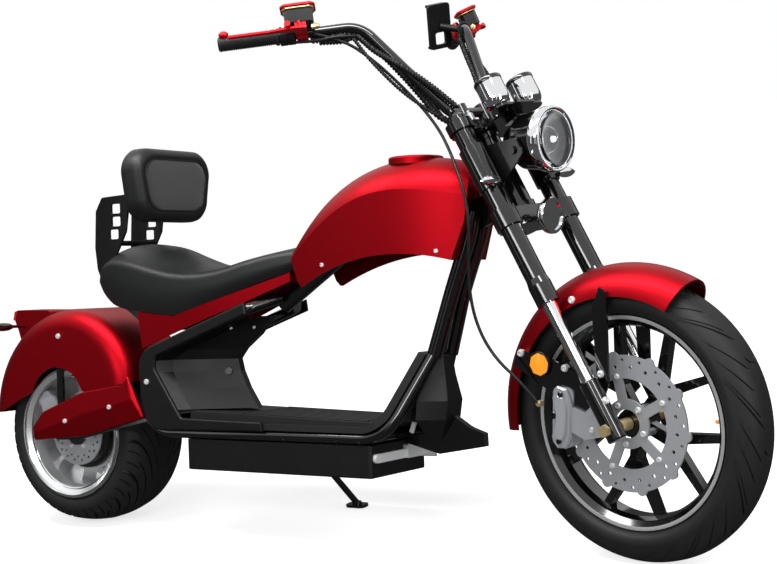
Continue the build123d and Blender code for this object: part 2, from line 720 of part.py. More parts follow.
with BuildPart() as rear_tyre:
    with BuildSketch(Plane.YZ):
        with BuildLine():
            Polyline((-96, REAR_FLANGE + 1), (-94, BEAD_RADIUS + SEAT_GAP), (94, BEAD_RADIUS + SEAT_GAP),
                     (96, REAR_FLANGE + 1))
            ThreePointArc((96, REAR_FLANGE + 1), (REAR_TYRE_HALF_WIDTH, 195), (88, 218))
            ThreePointArc((88, 218), (70, 226), (48, REAR_TYRE_RADIUS - 6.2))
            ThreePointArc((48, REAR_TYRE_RADIUS - 6.2), (0, REAR_TYRE_RADIUS), (-48, REAR_TYRE_RADIUS - 6.2))
            ThreePointArc((-48, REAR_TYRE_RADIUS - 6.2), (-70, 226), (-88, 218))
            ThreePointArc((-88, 218), (-REAR_TYRE_HALF_WIDTH, 195), (-96, REAR_FLANGE + 1))
        make_face()
    revolve(axis=Axis.Y)
store(rear_tyre, "rear_tyre", REAR_WHEEL)

with BuildPart() as hub_motor:
    ring([(-78, 8 + BEARING_GAP), (-78, REAR_NOSE), (-REAR_DISC_Y + SEAT_GAP, REAR_NOSE), (-REAR_DISC_Y + SEAT_GAP, 46),
          (-62, 62), (-44, 84), (-44, MOTOR_RADIUS), (44, MOTOR_RADIUS), (44, 84), (62, 62), (REAR_DISC_Y, 46),
          (78, REAR_NOSE), (78, 8 + BEARING_GAP)])
store(hub_motor, "hub_motor", REAR_WHEEL)

with BuildPart() as rear_rim:
    ring([(-REAR_RIM_HALF, REAR_FLANGE), (-REAR_RIM_HALF, 160), (-92, 146), (-60, 138), (60, 138), (92, 146),
          (REAR_RIM_HALF, 160), (REAR_RIM_HALF, REAR_FLANGE), (97, REAR_FLANGE), (95, BEAD_RADIUS),
          (-95, BEAD_RADIUS), (-97, REAR_FLANGE)])
    ring([(-34, MOTOR_RADIUS + SEAT_GAP), (34, MOTOR_RADIUS + SEAT_GAP), (34, 104), (-34, 104)])
    with BuildSketch(Plane.XZ):
        with PolarLocations(121, 10):
            Rectangle(38, 12)
    extrude(amount=26, both=True)
store(rear_rim, "rear_rim", REAR_WHEEL)

with BuildPart() as rear_disc:
    with BuildSketch(Plane.XZ.offset(REAR_DISC_Y)):
        Circle(86)
        Circle(REAR_NOSE + SEAT_GAP, mode=Mode.SUBTRACT)
        with PolarLocations(74, 18):
            Circle(3.5, mode=Mode.SUBTRACT)
        with PolarLocations(64, 18, start_angle=10):
            Circle(3, mode=Mode.SUBTRACT)
    extrude(amount=4)
store(rear_disc, "rear_disc", REAR_WHEEL)

# Front wheel: tyre, five-armed rim and wave disc, all about the axle
FRONT_BEAD = 214
FRONT_FLANGE = 224
HUB_RADIUS = 32
ARM_HALF = 11
DISC_Y = 44
DISC_RADIUS = 146
with BuildPart() as front_tyre:
    with BuildSketch(Plane.YZ):
        with BuildLine():
            Polyline((-38, FRONT_FLANGE + 1), (-35, FRONT_BEAD + SEAT_GAP), (35, FRONT_BEAD + SEAT_GAP),
                     (38, FRONT_FLANGE + 1))
            ThreePointArc((38, FRONT_FLANGE + 1), (53, 234), (FRONT_TYRE_HALF_WIDTH, 250))
            ThreePointArc((FRONT_TYRE_HALF_WIDTH, 250), (39, 281.2), (0, FRONT_TYRE_RADIUS))
            ThreePointArc((0, FRONT_TYRE_RADIUS), (-39, 281.2), (-FRONT_TYRE_HALF_WIDTH, 250))
            ThreePointArc((-FRONT_TYRE_HALF_WIDTH, 250), (-53, 234), (-38, FRONT_FLANGE + 1))
        make_face()
    revolve(axis=Axis.Y)
store(front_tyre, "front_tyre", FRONT_WHEEL)

with BuildPart() as front_rim:
    ring([(-42, FRONT_FLANGE), (-42, 216), (-30, 204), (-16, 198), (16, 198), (30, 204), (42, 216),
          (42, FRONT_FLANGE), (38.5, FRONT_FLANGE), (35.5, FRONT_BEAD), (-35.5, FRONT_BEAD), (-38.5, FRONT_FLANGE)])
    ring([(-40, AXLE_RADIUS + BEARING_GAP), (40, AXLE_RADIUS + BEARING_GAP), (40, 24), (24, HUB_RADIUS),
          (-24, HUB_RADIUS), (-40, 28)])
    for i in range(5):
        turn = math.radians(72 * i + 18)

        def at(radius, spread):
            return (radius * math.cos(turn + spread), radius * math.sin(turn + spread))

        with BuildSketch(Plane.XZ):
            with BuildLine():
                Polyline(at(26, -0.5), at(78, -0.17), at(200, -0.36), at(202, -0.28), at(110, -0.05), at(100, 0),
                         at(110, 0.05), at(202, 0.28), at(200, 0.36), at(78, 0.17), at(26, 0.5), close=True)
            make_face()
        extrude(amount=ARM_HALF, both=True)
store(front_rim, "front_rim", FRONT_WHEEL)

with BuildPart() as front_disc:
    with BuildSketch(Plane.XZ.offset(DISC_Y - 2.5)):
        Circle(DISC_RADIUS - 4)
        with PolarLocations(DISC_RADIUS - 8, 10):
            Circle(12)
        Circle(94, mode=Mode.SUBTRACT)
        with PolarLocations(118, 20):
            Circle(4, mode=Mode.SUBTRACT)
        with PolarLocations(132, 20, start_angle=9):
            Circle(3.5, mode=Mode.SUBTRACT)
    extrude(amount=5)
    with BuildSketch(Plane.XZ.offset(DISC_Y - 2.5)):
        Circle(52)
        Circle(30, mode=Mode.SUBTRACT)
        with PolarLocations(74, 5):
            Rectangle(60, 22)
        Circle(30, mode=Mode.SUBTRACT)
    extrude(amount=5)
    with BuildSketch(Plane.XZ.offset(ARM_HALF)):
        with PolarLocations(42, 5, start_angle=18):
            Circle(8)
    extrude(amount=DISC_Y - 2.5 - ARM_HALF)
    add(front_rim.part, mode=Mode.SUBTRACT)
store(front_disc, "front_disc", FRONT_WHEEL)

# Fork, drawn straight ahead in its own frame
SIDES = (-1, 1)
LEG_SPOTS = [(FORK_OFFSET, side * LEG_SPACING) for side in SIDES]
CLAMP_GRIP = 7


def clamp(bottom, top):
    """A triple clamp: pinch rings round both legs, webbed to the stem."""
    with BuildSketch(Plane.XY.offset(bottom)) as outline:
        with Locations(*LEG_SPOTS):
            Circle(LEG_RADIUS + CLAMP_GRIP)
        with Locations((FORK_OFFSET / 2, 0)):
            Rectangle(FORK_OFFSET + 26, 2 * LEG_SPACING - 10)
        Circle(HEAD_TUBE_RADIUS + 4)
        with Locations(*LEG_SPOTS):
            Circle(LEG_RADIUS + SEAT_GAP, mode=Mode.SUBTRACT)
    extrude(outline.sketch, amount=top - bottom)


RISER_Y = 36
RISER_RADIUS = 15
with BuildPart() as lower_clamp:
    clamp(*LOWER_CLAMP)
    with BuildSketch(Plane.XY.offset(LOWER_CLAMP[1])):
        Circle(STEM_RADIUS)
    extrude(amount=UPPER_CLAMP[1] + 8 - LOWER_CLAMP[1])
store(lower_clamp, "lower_clamp", FORK)

with BuildPart() as upper_clamp:
    clamp(*UPPER_CLAMP)
    with BuildSketch(Plane.XY.offset(UPPER_CLAMP[1])):
        with Locations((0, -RISER_Y), (0, RISER_Y)):
            Circle(RISER_RADIUS)
    extrude(amount=BAR_HEIGHT + BAR_RADIUS + 6 - UPPER_CLAMP[1])
    with BuildSketch(Plane.XY.offset(UPPER_CLAMP[0])):
        Circle(STEM_RADIUS + SEAT_GAP)
    extrude(amount=UPPER_CLAMP[1] - UPPER_CLAMP[0], mode=Mode.SUBTRACT)
    with BuildSketch(Plane.XZ.offset(-60)):
        with Locations((0, BAR_HEIGHT)):
            Circle(BAR_RADIUS + SEAT_GAP)
    extrude(amount=120, mode=Mode.SUBTRACT)
store(upper_clamp, "upper_clamp", FORK)

with BuildPart() as fork_tubes:
    for spot in LEG_SPOTS:
        with BuildSketch(Plane.XZ.offset(-spot[1])):
            with BuildLine():
                Polyline((FORK_OFFSET, COLLAR_BOTTOM), (FORK_OFFSET + COLLAR_RADIUS, COLLAR_BOTTOM),
                         (FORK_OFFSET + COLLAR_RADIUS, COLLAR_TOP - 14), (FORK_OFFSET + LEG_RADIUS, COLLAR_TOP),
                         (FORK_OFFSET + LEG_RADIUS, LEG_TOP), (FORK_OFFSET + LEG_RADIUS - 5, LEG_TOP + 6),
                         (FORK_OFFSET, LEG_TOP + 6), close=True)
            make_face()
        revolve(axis=Axis((*spot, 0), (0, 0, 1)))
    with BuildSketch(Plane.XY.offset(COLLAR_BOTTOM)):
        with Locations(*LEG_SPOTS):
            Circle(STANCHION_RADIUS + SEAT_GAP)
    extrude(amount=60, mode=Mode.SUBTRACT)
store(fork_tubes, "fork_tubes", FORK)

with BuildPart() as stanchions:
    with BuildSketch(Plane.XY.offset(LUG_TOP)):
        with Locations(*LEG_SPOTS):
            Circle(STANCHION_RADIUS)
    extrude(amount=COLLAR_BOTTOM + 59 - LUG_TOP)
store(stanchions, "stanchions", FORK)

LUG_RADIUS = 20.5
with BuildPart() as fork_lugs:
    with BuildSketch(Plane.XY.offset(LUG_BOTTOM)):
        with Locations(*LEG_SPOTS):
            Circle(LUG_RADIUS)
    extrude(amount=LUG_TOP - LUG_BOTTOM)
    fillet(edges().filter_by(GeomType.CIRCLE), radius=4)
    with BuildSketch(Plane.XZ.offset(-130)):
        with Locations((FORK_OFFSET, 0)):
            Circle(AXLE_RADIUS + SEAT_GAP)
    extrude(amount=260, mode=Mode.SUBTRACT)
store(fork_lugs, "fork_lugs", FORK)

AXLE_HALF = LEG_SPACING + LUG_RADIUS + 2
with BuildPart() as front_axle:
    for side in SIDES:
        with BuildSketch(Plane(origin=(FORK_OFFSET, 0, 0), x_dir=(1, 0, 0), z_dir=(0, side, 0))):
            Circle(AXLE_RADIUS)
        extrude(amount=AXLE_HALF)
        with BuildSketch(Plane(origin=(FORK_OFFSET, side * AXLE_HALF, 0), x_dir=(1, 0, 0), z_dir=(0, side, 0))):
            RegularPolygon(13, 6)
        extrude(amount=10)
        with BuildSketch(Plane(origin=(FORK_OFFSET, side * 42, 0), x_dir=(1, 0, 0), z_dir=(0, side, 0))):
            Circle(13)
        extrude(amount=LEG_SPACING - LUG_RADIUS - SEAT_GAP - 42)
store(front_axle, "front_axle", FORK)

# Handlebar: one bent tube, its middle clamped in the risers
BAR_POINTS = [(0, 72, BAR_HEIGHT), (-35, 175, 1012), (-235, 385, 1104)]
bar_route = [(x, -y, z) for x, y, z in reversed(BAR_POINTS)] + BAR_POINTS
GRIP_LENGTH = 128
SWITCH_LENGTH = 34
PERCH_BACK = GRIP_LENGTH + SWITCH_LENGTH + 4
with BuildPart() as handlebar:
    tube(bar_route, [70, 26, 26, 70], BAR_RADIUS)
store(handlebar, "handlebar", FORK)


def bar_plane(side, back):
    """Plane square to the bar's outer run, back from its end; its X points ahead of the rider."""
    end = Vector(BAR_POINTS[2][0], side * BAR_POINTS[2][1], BAR_POINTS[2][2])
    bend = Vector(BAR_POINTS[1][0], side * BAR_POINTS[1][1], BAR_POINTS[1][2])
    inward = (bend - end).normalized()
    return Plane(end + inward * back, x_dir=Vector(0, 0, 1).cross(inward) * side, z_dir=inward)


def bar_sleeve(side, back, length, radius):
    """A sleeve round the bar's outer run, inside the active part."""
    with BuildSketch(bar_plane(side, back)) as section:
        Circle(radius)
        Circle(BAR_RADIUS + SEAT_GAP, mode=Mode.SUBTRACT)
    extrude(section.sketch, amount=length)


def beside_bar(side, back, ahead, up):
    """A point beside the bar's outer run: back from its end, ahead of it and above it."""
    spot = bar_plane(side, back)
    return spot.origin + spot.x_dir * ahead + Vector(0, 0, up)


with BuildPart() as grips:
    for side in SIDES:
        bar_sleeve(side, 0, GRIP_LENGTH, 16)
        with BuildSketch(bar_plane(side, -5)):
            Circle(16)
        extrude(amount=5)
        with BuildSketch(bar_plane(side, -SEAT_GAP)):
            Circle(BAR_RADIUS + SEAT_GAP)
        extrude(amount=SEAT_GAP, mode=Mode.SUBTRACT)
store(grips, "grips", FORK)

with BuildPart() as switch_housings:
    for side in SIDES:
        bar_sleeve(side, GRIP_LENGTH + 1, SWITCH_LENGTH, 20)
store(switch_housings, "switch_housings", FORK)

# Brake master cylinders: perch, pump body ahead of the bar and the reservoir above it
PERCH_LENGTH = 24
RESERVOIR_AHEAD = 34
MIRROR_BOSS_TOP = 28
MIRROR_HOLE_RADIUS = 4.4
MIRROR_HOLE_DEPTH = 14
with BuildPart() as master_cylinders:
    for side in SIDES:
        bar_sleeve(side, PERCH_BACK, PERCH_LENGTH, 17)
        with BuildSketch(bar_plane(side, PERCH_BACK)):
            with Locations((RESERVOIR_AHEAD - 2, 0)):
                RectangleRounded(40, 24, 6)
        extrude(amount=PERCH_LENGTH)
        with BuildSketch(Plane(beside_bar(side, PERCH_BACK + PERCH_LENGTH / 2, RESERVOIR_AHEAD, 8))):
            Circle(18)
        extrude(amount=26)
        with BuildSketch(Plane(beside_bar(side, PERCH_BACK + PERCH_LENGTH / 2, 0, 14))):
            Circle(9)
        extrude(amount=MIRROR_BOSS_TOP - 14)
        with BuildSketch(Plane(beside_bar(side, PERCH_BACK + PERCH_LENGTH / 2, 0, MIRROR_BOSS_TOP))):
            Circle(MIRROR_HOLE_RADIUS)
        extrude(amount=-MIRROR_HOLE_DEPTH, mode=Mode.SUBTRACT)
store(master_cylinders, "master_cylinders", FORK)

with BuildPart() as reservoir_caps:
    for side in SIDES:
        with BuildSketch(Plane(beside_bar(side, PERCH_BACK + PERCH_LENGTH / 2, RESERVOIR_AHEAD, 34))):
            Circle(19)
        extrude(amount=7)
store(reservoir_caps, "reservoir_caps", FORK)

LEVER_AHEAD = 50
with BuildPart() as brake_levers:
    for side in SIDES:
        root = beside_bar(side, PERCH_BACK + 16, LEVER_AHEAD, -4)
        tip = beside_bar(side, 6, LEVER_AHEAD + 2, -4)
        run = tip - root
        flat = Vector(0, 0, 1)
        across = run.cross(flat).normalized()
        with BuildSketch(Plane(root, x_dir=run, z_dir=run.cross(across) * -1)):
            with Locations((run.length / 2, 0)):
                RectangleRounded(run.length, 12, 5.5)
        extrude(amount=4, both=True)
        with BuildSketch(Plane(tip, z_dir=run)):
            Circle(8)
        extrude(amount=9)
    add(master_cylinders.part, mode=Mode.SUBTRACT)
store(brake_levers, "brake_levers", FORK)

# Phone holder clamped on the left run of the bar
HOLDER_BACK = 262
with BuildPart() as phone_holder:
    bar_sleeve(1, HOLDER_BACK, 22, 16)
    holder_centre = beside_bar(1, HOLDER_BACK + 11, -46, 30)
    holder_plane = Plane(holder_centre, x_dir=(0.3, 1, 0), z_dir=(-0.75, 0.2, 0.62))
    with BuildSketch(holder_plane):
        RectangleRounded(62, 104, 8)
        with Locations((0, 28)):
            RectangleRounded(30, 28, 5, mode=Mode.SUBTRACT)
    extrude(amount=8)
    with BuildSketch(holder_plane.offset(8)):
        with Locations((0, 48), (0, -48)):
            Rectangle(50, 6)
    extrude(amount=12)
    stem_from = beside_bar(1, HOLDER_BACK + 11, -13, 6)
    stem_run = holder_centre - stem_from
    with BuildSketch(Plane(stem_from, z_dir=stem_run)):
        Circle(8)
    extrude(amount=stem_run.length)
    add(handlebar.part, mode=Mode.SUBTRACT)
store(phone_holder, "phone_holder", FORK)

# Headlamp: bucket, chrome bezel and lens, level on the upright scooter
HEADLAMP = (1350, 885)
LAMP_RADIUS = 66
LAMP_DEPTH = 92
lamp_forward, lamp_along = to_fork(*HEADLAMP)
level_forward = (math.cos(rake), 0, -math.sin(rake))
lamp_plane = Plane((lamp_forward, 0, lamp_along), x_dir=(0, 1, 0), z_dir=level_forward)
with BuildPart() as headlamp_bucket:
    with BuildSketch(lamp_plane.offset(-LAMP_DEPTH)):
        Circle(34)
    with BuildSketch(lamp_plane.offset(-LAMP_DEPTH * 0.6)):
        Circle(58)
    with BuildSketch(lamp_plane):
        Circle(LAMP_RADIUS)
    loft(ruled=True)
store(headlamp_bucket, "headlamp_bucket", FORK)

BEZEL_DEPTH = 26
with BuildPart() as headlamp_bezel:
    with BuildSketch(lamp_plane):
        Circle(LAMP_RADIUS + 6)
        Circle(LAMP_RADIUS - 4, mode=Mode.SUBTRACT)
    extrude(amount=BEZEL_DEPTH)
    fillet(edges().filter_by(GeomType.CIRCLE).sort_by(SortBy.RADIUS)[-2:], radius=4)
store(headlamp_bezel, "headlamp_bezel", FORK)

with BuildPart() as headlamp_lens:
    with BuildSketch(lamp_plane):
        Circle(LAMP_RADIUS - 4 - SEAT_GAP)
    extrude(amount=BEZEL_DEPTH - 4)
store(headlamp_lens, "headlamp_lens", FORK)

# Mounts of the lamp and the instruments: a shelf on the upper clamp and an ear on each leg
POD_FORWARD = 108
POD_Y = 54
POD_RADIUS = 30
POD_HEIGHT = 68
SHELF_THICK = 5
POD_BOTTOM = UPPER_CLAMP[0] + SHELF_THICK
EAR_Y = 67
EAR_RISE = 50
EAR_HEIGHT = 100
EAR_BOTTOM = LOWER_CLAMP[1] + EAR_RISE
with BuildPart() as lamp_mounts:
    with BuildSketch(Plane.XY.offset(UPPER_CLAMP[0])):
        with Locations((86, 0)):
            Rectangle(100, 60)
        with Locations((POD_FORWARD, 0)):
            Rectangle(44, 2 * POD_Y)
        with Locations((POD_FORWARD, -POD_Y), (POD_FORWARD, POD_Y)):
            Circle(22)
    extrude(amount=SHELF_THICK)
    add(upper_clamp.part, mode=Mode.SUBTRACT)
    for side in SIDES:
        with BuildSketch(Plane.XZ.offset(-side * EAR_Y)):
            with BuildLine():
                Polyline((FORK_OFFSET + 4, EAR_BOTTOM), (lamp_forward - 20, lamp_along - 14),
                         (lamp_forward - 20, lamp_along + 22), (FORK_OFFSET + 4, EAR_BOTTOM + EAR_HEIGHT), close=True)
            make_face()
        extrude(amount=-side * 6)
        with BuildSketch(Plane(origin=(lamp_forward - 40, side * 40, lamp_along + 4), x_dir=(1, 0, 0),
                               z_dir=(0, side, 0))):
            Circle(9)
        extrude(amount=EAR_Y + 12 - 40)
        with BuildSketch(Plane.XY.offset(EAR_BOTTOM)):
            with Locations((FORK_OFFSET, side * LEG_SPACING)):
                Circle(LEG_RADIUS + 5)
        extrude(amount=EAR_HEIGHT)
    with BuildSketch(Plane.XY.offset(EAR_BOTTOM)):
        with Locations(*LEG_SPOTS):
            Circle(LEG_RADIUS + SEAT_GAP)
    extrude(amount=EAR_HEIGHT, mode=Mode.SUBTRACT)
    add(headlamp_bucket.part, mode=Mode.SUBTRACT)
store(lamp_mounts, "lamp_mounts", FORK)

with BuildPart() as instrument_pods:
    for side in SIDES:
        edge = POD_FORWARD + POD_RADIUS
        with BuildSketch(Plane.XZ.offset(-side * POD_Y)):
            with BuildLine():
                Line((POD_FORWARD, POD_BOTTOM), (edge - 14, POD_BOTTOM))
                ThreePointArc((edge - 14, POD_BOTTOM), (edge - 4, POD_BOTTOM + 5), (edge, POD_BOTTOM + 16))
                Polyline((edge, POD_BOTTOM + 16), (edge, POD_BOTTOM + POD_HEIGHT),
                         (POD_FORWARD, POD_BOTTOM + POD_HEIGHT), (POD_FORWARD, POD_BOTTOM))
            make_face()
        revolve(axis=Axis((POD_FORWARD, side * POD_Y, 0), (0, 0, 1)))
store(instrument_pods, "instrument_pods", FORK)

# Horn on a stem from the lower clamp
HORN = (1352, 726)
HORN_RADIUS = 39
horn_forward, horn_along = to_fork(*HORN)
horn_plane = Plane((horn_forward, 0, horn_along), x_dir=(0, 1, 0), z_dir=level_forward)
with BuildPart() as horn:
    with BuildSketch(horn_plane):
        Circle(HORN_RADIUS)
    extrude(amount=-22)
    fillet(edges(), radius=4)
    with BuildSketch(horn_plane.offset(-22)):
        Circle(8)
    extrude(amount=-34)
    add(lower_clamp.part, mode=Mode.SUBTRACT)
store(horn, "horn", FORK)

INDICATOR_ALONG = EAR_BOTTOM + 6
with BuildPart() as front_indicators:
    add(indicator_pair(FORK_OFFSET + 32, INDICATOR_ALONG, LEG_SPACING + 8, LEG_SPACING + 66).part)
    add(lamp_mounts.part, mode=Mode.SUBTRACT)
store(front_indicators, "front_indicators", FORK)

# Front fender: a crowned shell bent round the wheel, held by stays on the lugs
FENDER_CROWN = 326
FENDER_SIDE = 72
FENDER_EDGE = 264
FENDER_SHEET = 4
TAIL_ANGLE = 185 - RAKE
NOSE_ANGLE = 62 - RAKE
tail_turn = math.radians(TAIL_ANGLE)
fender_start = Plane((FORK_OFFSET, 0, 0), x_dir=(0, 1, 0), z_dir=(math.sin(tail_turn), 0, -math.cos(tail_turn)))
with BuildPart() as front_fender:
    with BuildSketch(fender_start):
        with BuildLine():
            ThreePointArc((-FENDER_SIDE, FENDER_EDGE), (0, FENDER_CROWN), (FENDER_SIDE, FENDER_EDGE))
            Line((FENDER_SIDE, FENDER_EDGE), (FENDER_SIDE - FENDER_SHEET, FENDER_EDGE))
            ThreePointArc((FENDER_SIDE - FENDER_SHEET, FENDER_EDGE), (0, FENDER_CROWN - FENDER_SHEET),
                          (-FENDER_SIDE + FENDER_SHEET, FENDER_EDGE))
            Line((-FENDER_SIDE + FENDER_SHEET, FENDER_EDGE), (-FENDER_SIDE, FENDER_EDGE))
        make_face()
    revolve(axis=Axis((FORK_OFFSET, 0, 0), (0, 1, 0)), revolution_arc=TAIL_ANGLE - NOSE_ANGLE)
store(front_fender, "front_fender", FORK)

REFLECTOR = (-81, 196)
REFLECTOR_RADIUS = 27
with BuildPart() as fender_brackets:
    for side in SIDES:
        with BuildSketch(Plane.XZ.offset(-side * (FENDER_SIDE + SEAT_GAP))):
            with BuildLine():
                Polyline((10, 70), (10, 120), (-50, 190), (-118, 250), (-146, 226), (-100, 150), (-30, 60), close=True)
            make_face()
            with BuildLine():
                Polyline((30, 104), (96, 232), (136, 262), (146, 246), (50, 84), (30, 70), close=True)
            make_face()
        extrude(amount=-side * 6)
    add(fork_lugs.part, mode=Mode.SUBTRACT)
    add(front_fender.part, mode=Mode.SUBTRACT)
store(fender_brackets, "fender_brackets", FORK)

with BuildPart() as reflectors:
    for side in SIDES:
        with BuildSketch(Plane.XZ.offset(-side * (FENDER_SIDE + 6 + SEAT_GAP))):
            with Locations(REFLECTOR):
                Circle(REFLECTOR_RADIUS)
        extrude(amount=-side * 8)
store(reflectors, "reflectors", FORK)

# Front brake caliper on its hanger behind the right leg, straddling the disc
CALIPER = (-88, 75)
CALIPER_TURN = 56
DISC_CLEAR = 5
with BuildPart() as front_caliper:
    with BuildSketch(Plane.XZ.offset(28)):
        with Locations(Location((*CALIPER, 0), CALIPER_TURN)):
            RectangleRounded(128, 52, 16)
    extrude(amount=54)
    with BuildSketch(Plane.XZ.offset(28 + 54)):
        with Locations(Location((*CALIPER, 0), CALIPER_TURN)):
            with GridLocations(38, 0, 3, 1):
                Circle(16)
    extrude(amount=4)
    with BuildSketch(Plane.XZ.offset(FENDER_SIDE + 7)):
        with BuildLine():
            Polyline((8, -10), (8, 66), (-30, 58), (-84, 118), (-104, 70), (-60, 10), close=True)
        make_face()
        fillet(vertices(), radius=6)
    extrude(amount=8)
    with BuildSketch(Plane.XZ.offset(DISC_Y - 2.5 - DISC_CLEAR)):
        with Locations((FORK_OFFSET, 0)):
            Circle(DISC_RADIUS + 4 + DISC_CLEAR)
    extrude(amount=5 + 2 * DISC_CLEAR, mode=Mode.SUBTRACT)
    add(fork_lugs.part, mode=Mode.SUBTRACT)
    add(front_axle.part, mode=Mode.SUBTRACT)
    add(fender_brackets.part, mode=Mode.SUBTRACT)
store(front_caliper, "front_caliper", FORK)

# Front brake hose, held at the master cylinder and at the caliper: straight runs and tangent arcs
HOSE_RADIUS = 3.5
hose_points = [
    # forward, side, along
    (-96, -252, 1034), (-66, -212, 1000), (-52, -168, 940), (-44, -132, 872), (-38, -104, 806), (-34, -90, 744),
    (-30, -96, 690), (-22, -114, 640), (-20, -127, 590), (-34, -131, 540), (-64, -130, 492), (-100, -127, 446),
    (-132, -123, 398), (-152, -120, 346), (-158, -117, 292), (-150, -113, 240), (-134, -107, 196), (-126, -100, 160),
    (-122, -93, 128),
]


def arc_radii(points):
    """Arc for each corner: as large as its two runs allow, 0.45 of the shorter one."""
    spots = [Vector(*p) for p in points]
    radii = []
    for before, corner, after in zip(spots, spots[1:], spots[2:]):
        turn = math.radians((corner - before).get_angle(after - corner))
        shorter = min((corner - before).length, (after - corner).length)
        radii.append(0.45 * shorter / math.tan(turn / 2))
    return radii


hose_radii = arc_radii(hose_points)
with BuildPart() as brake_hose:
    tube(hose_points, hose_radii, HOSE_RADIUS)
    add(master_cylinders.part, mode=Mode.SUBTRACT)
    add(front_caliper.part, mode=Mode.SUBTRACT)
    add(handlebar.part, mode=Mode.SUBTRACT)
store(brake_hose, "brake_hose", FORK)

# Side stand: its pivot boss hangs on the left cradle tube, its foot stands flat on the ground
STAND_PIVOT = Vector(560, 136, 206)
STAND_FOLDED = Vector(-0.985, 0.16, 0.06)
FOOT_X = 645
FOOT_Y = 250
foot_low = (CHASSIS * Location((FOOT_X, FOOT_Y, 0))).position
foot_high = (CHASSIS * Location((FOOT_X, FOOT_Y, 100))).position
foot_z = -foot_low.Z / (foot_high.Z - foot_low.Z) * 100
foot_ground = (CHASSIS * Location((FOOT_X, FOOT_Y, foot_z))).position
foot_plane = Plane(CHASSIS.inverse() * Location(foot_ground))
leg_down = (foot_plane.origin - STAND_PIVOT).normalized()
STAND_AXIS = leg_down.cross(STAND_FOLDED).normalized()
STAND_TRAVEL = leg_down.get_angle(STAND_FOLDED)
STAND_TUBE = 8
BOSS_RADIUS = 13
with BuildPart() as side_stand:
    with BuildSketch(Plane(STAND_PIVOT + STAND_AXIS * SEAT_GAP, z_dir=STAND_AXIS)):
        Circle(BOSS_RADIUS)
        Circle(5 + BEARING_GAP, mode=Mode.SUBTRACT)
    extrude(amount=14)
    leg_start = STAND_PIVOT + STAND_AXIS * 9 + leg_down * 11
    leg_end = foot_plane.origin + foot_plane.z_dir * 9
    with BuildSketch(Plane(leg_start, z_dir=leg_end - leg_start)):
        Circle(STAND_TUBE)
    extrude(amount=(leg_end - leg_start).length)
    with BuildSketch(foot_plane):
        RectangleRounded(56, 34, 12)
    extrude(amount=7)
    with BuildSketch(foot_plane.offset(7)):
        Circle(STAND_TUBE + 4)
    extrude(amount=6)
store(side_stand, "side_stand", CHASSIS)

# The pivot's tab and bolt are welded to the left cradle tube
with BuildPart() as stand_bracket:
    with BuildSketch(Plane.XZ.offset(-BATTERY_HALF - SEAT_GAP)):
        with BuildLine():
            Polyline((520, 262), (600, 262), (584, 190), (560, 178), (536, 190), close=True)
        make_face()
        fillet(vertices().filter_by_position(Axis.Z, 170, 200), radius=8)
    extrude(amount=-10)
    with BuildSketch(Plane(STAND_PIVOT, z_dir=-STAND_AXIS)):
        Circle(BOSS_RADIUS)
    extrude(amount=26)
    with BuildSketch(Plane(STAND_PIVOT, z_dir=STAND_AXIS)):
        Circle(5)
    extrude(amount=16)
    with BuildSketch(Plane(STAND_PIVOT + STAND_AXIS * (15 + SEAT_GAP), z_dir=STAND_AXIS)):
        Circle(9)
    extrude(amount=6)
    add(battery_box.part, mode=Mode.SUBTRACT)
    add(cradle_side(1).part, mode=Mode.SUBTRACT)
    add(footboard.part, mode=Mode.SUBTRACT)
    add(belly_panels.part, mode=Mode.SUBTRACT)
store(stand_bracket, "stand_bracket", CHASSIS)
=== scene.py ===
# %% [markdown]
# # An electric chopper scooter
# The scooter comes packed as a fixed model: frame tubes, covers, wheels, fork, bar and lamps, each a
# node of its own in real metres. This lesson dresses it. Each step takes one kind of piece, says
# what it is on the real scooter and builds its look around the model without moving it.

import json
import math

import bmesh
import bpy
from mathutils import Matrix, Vector
from mathutils.bvhtree import BVHTree


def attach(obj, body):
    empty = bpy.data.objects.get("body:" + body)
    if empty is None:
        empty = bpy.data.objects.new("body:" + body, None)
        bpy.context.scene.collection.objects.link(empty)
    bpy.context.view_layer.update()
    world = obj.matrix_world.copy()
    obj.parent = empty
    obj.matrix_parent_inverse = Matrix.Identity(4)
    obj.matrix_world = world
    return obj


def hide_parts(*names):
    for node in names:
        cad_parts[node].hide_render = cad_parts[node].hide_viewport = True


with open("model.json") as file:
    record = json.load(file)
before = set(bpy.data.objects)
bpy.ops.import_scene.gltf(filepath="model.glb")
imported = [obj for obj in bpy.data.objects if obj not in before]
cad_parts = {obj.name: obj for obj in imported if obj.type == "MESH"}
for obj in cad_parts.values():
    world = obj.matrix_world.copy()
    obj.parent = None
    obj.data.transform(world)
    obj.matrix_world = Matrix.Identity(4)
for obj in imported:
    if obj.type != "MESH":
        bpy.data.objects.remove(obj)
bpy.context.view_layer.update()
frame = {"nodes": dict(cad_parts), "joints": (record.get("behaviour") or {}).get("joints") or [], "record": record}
nodes = frame["nodes"]

# %% [markdown]
# ## Where the pieces stand
# The scooter leans on its side stand and its fork is turned a little, so nothing is square to the
# floor. The record's joints say how each part lies: the rear axle gives the chassis' sideways
# direction and the steering axis its forward one. From them come four small coordinate systems, in
# which every piece is drawn in plain millimetres.

# %% Placement frames from the joints
MM = 0.001
RAKE = math.radians(27.9)
REAR_TYRE_RADIUS = 235
FORK_OFFSET = 24
joints = {joint["name"]: joint for joint in frame["joints"]}


def axes_at(origin, x, y, z):
    """A matrix whose columns are three directions, standing at a point."""
    turned = Matrix((x, y, z)).transposed().to_4x4()
    return Matrix.Translation(origin) @ turned


def local(place, x, y, z):
    """A point drawn in millimetres in one of the placement frames, in the model's metres."""
    return place @ (Vector((x, y, z)) * MM)


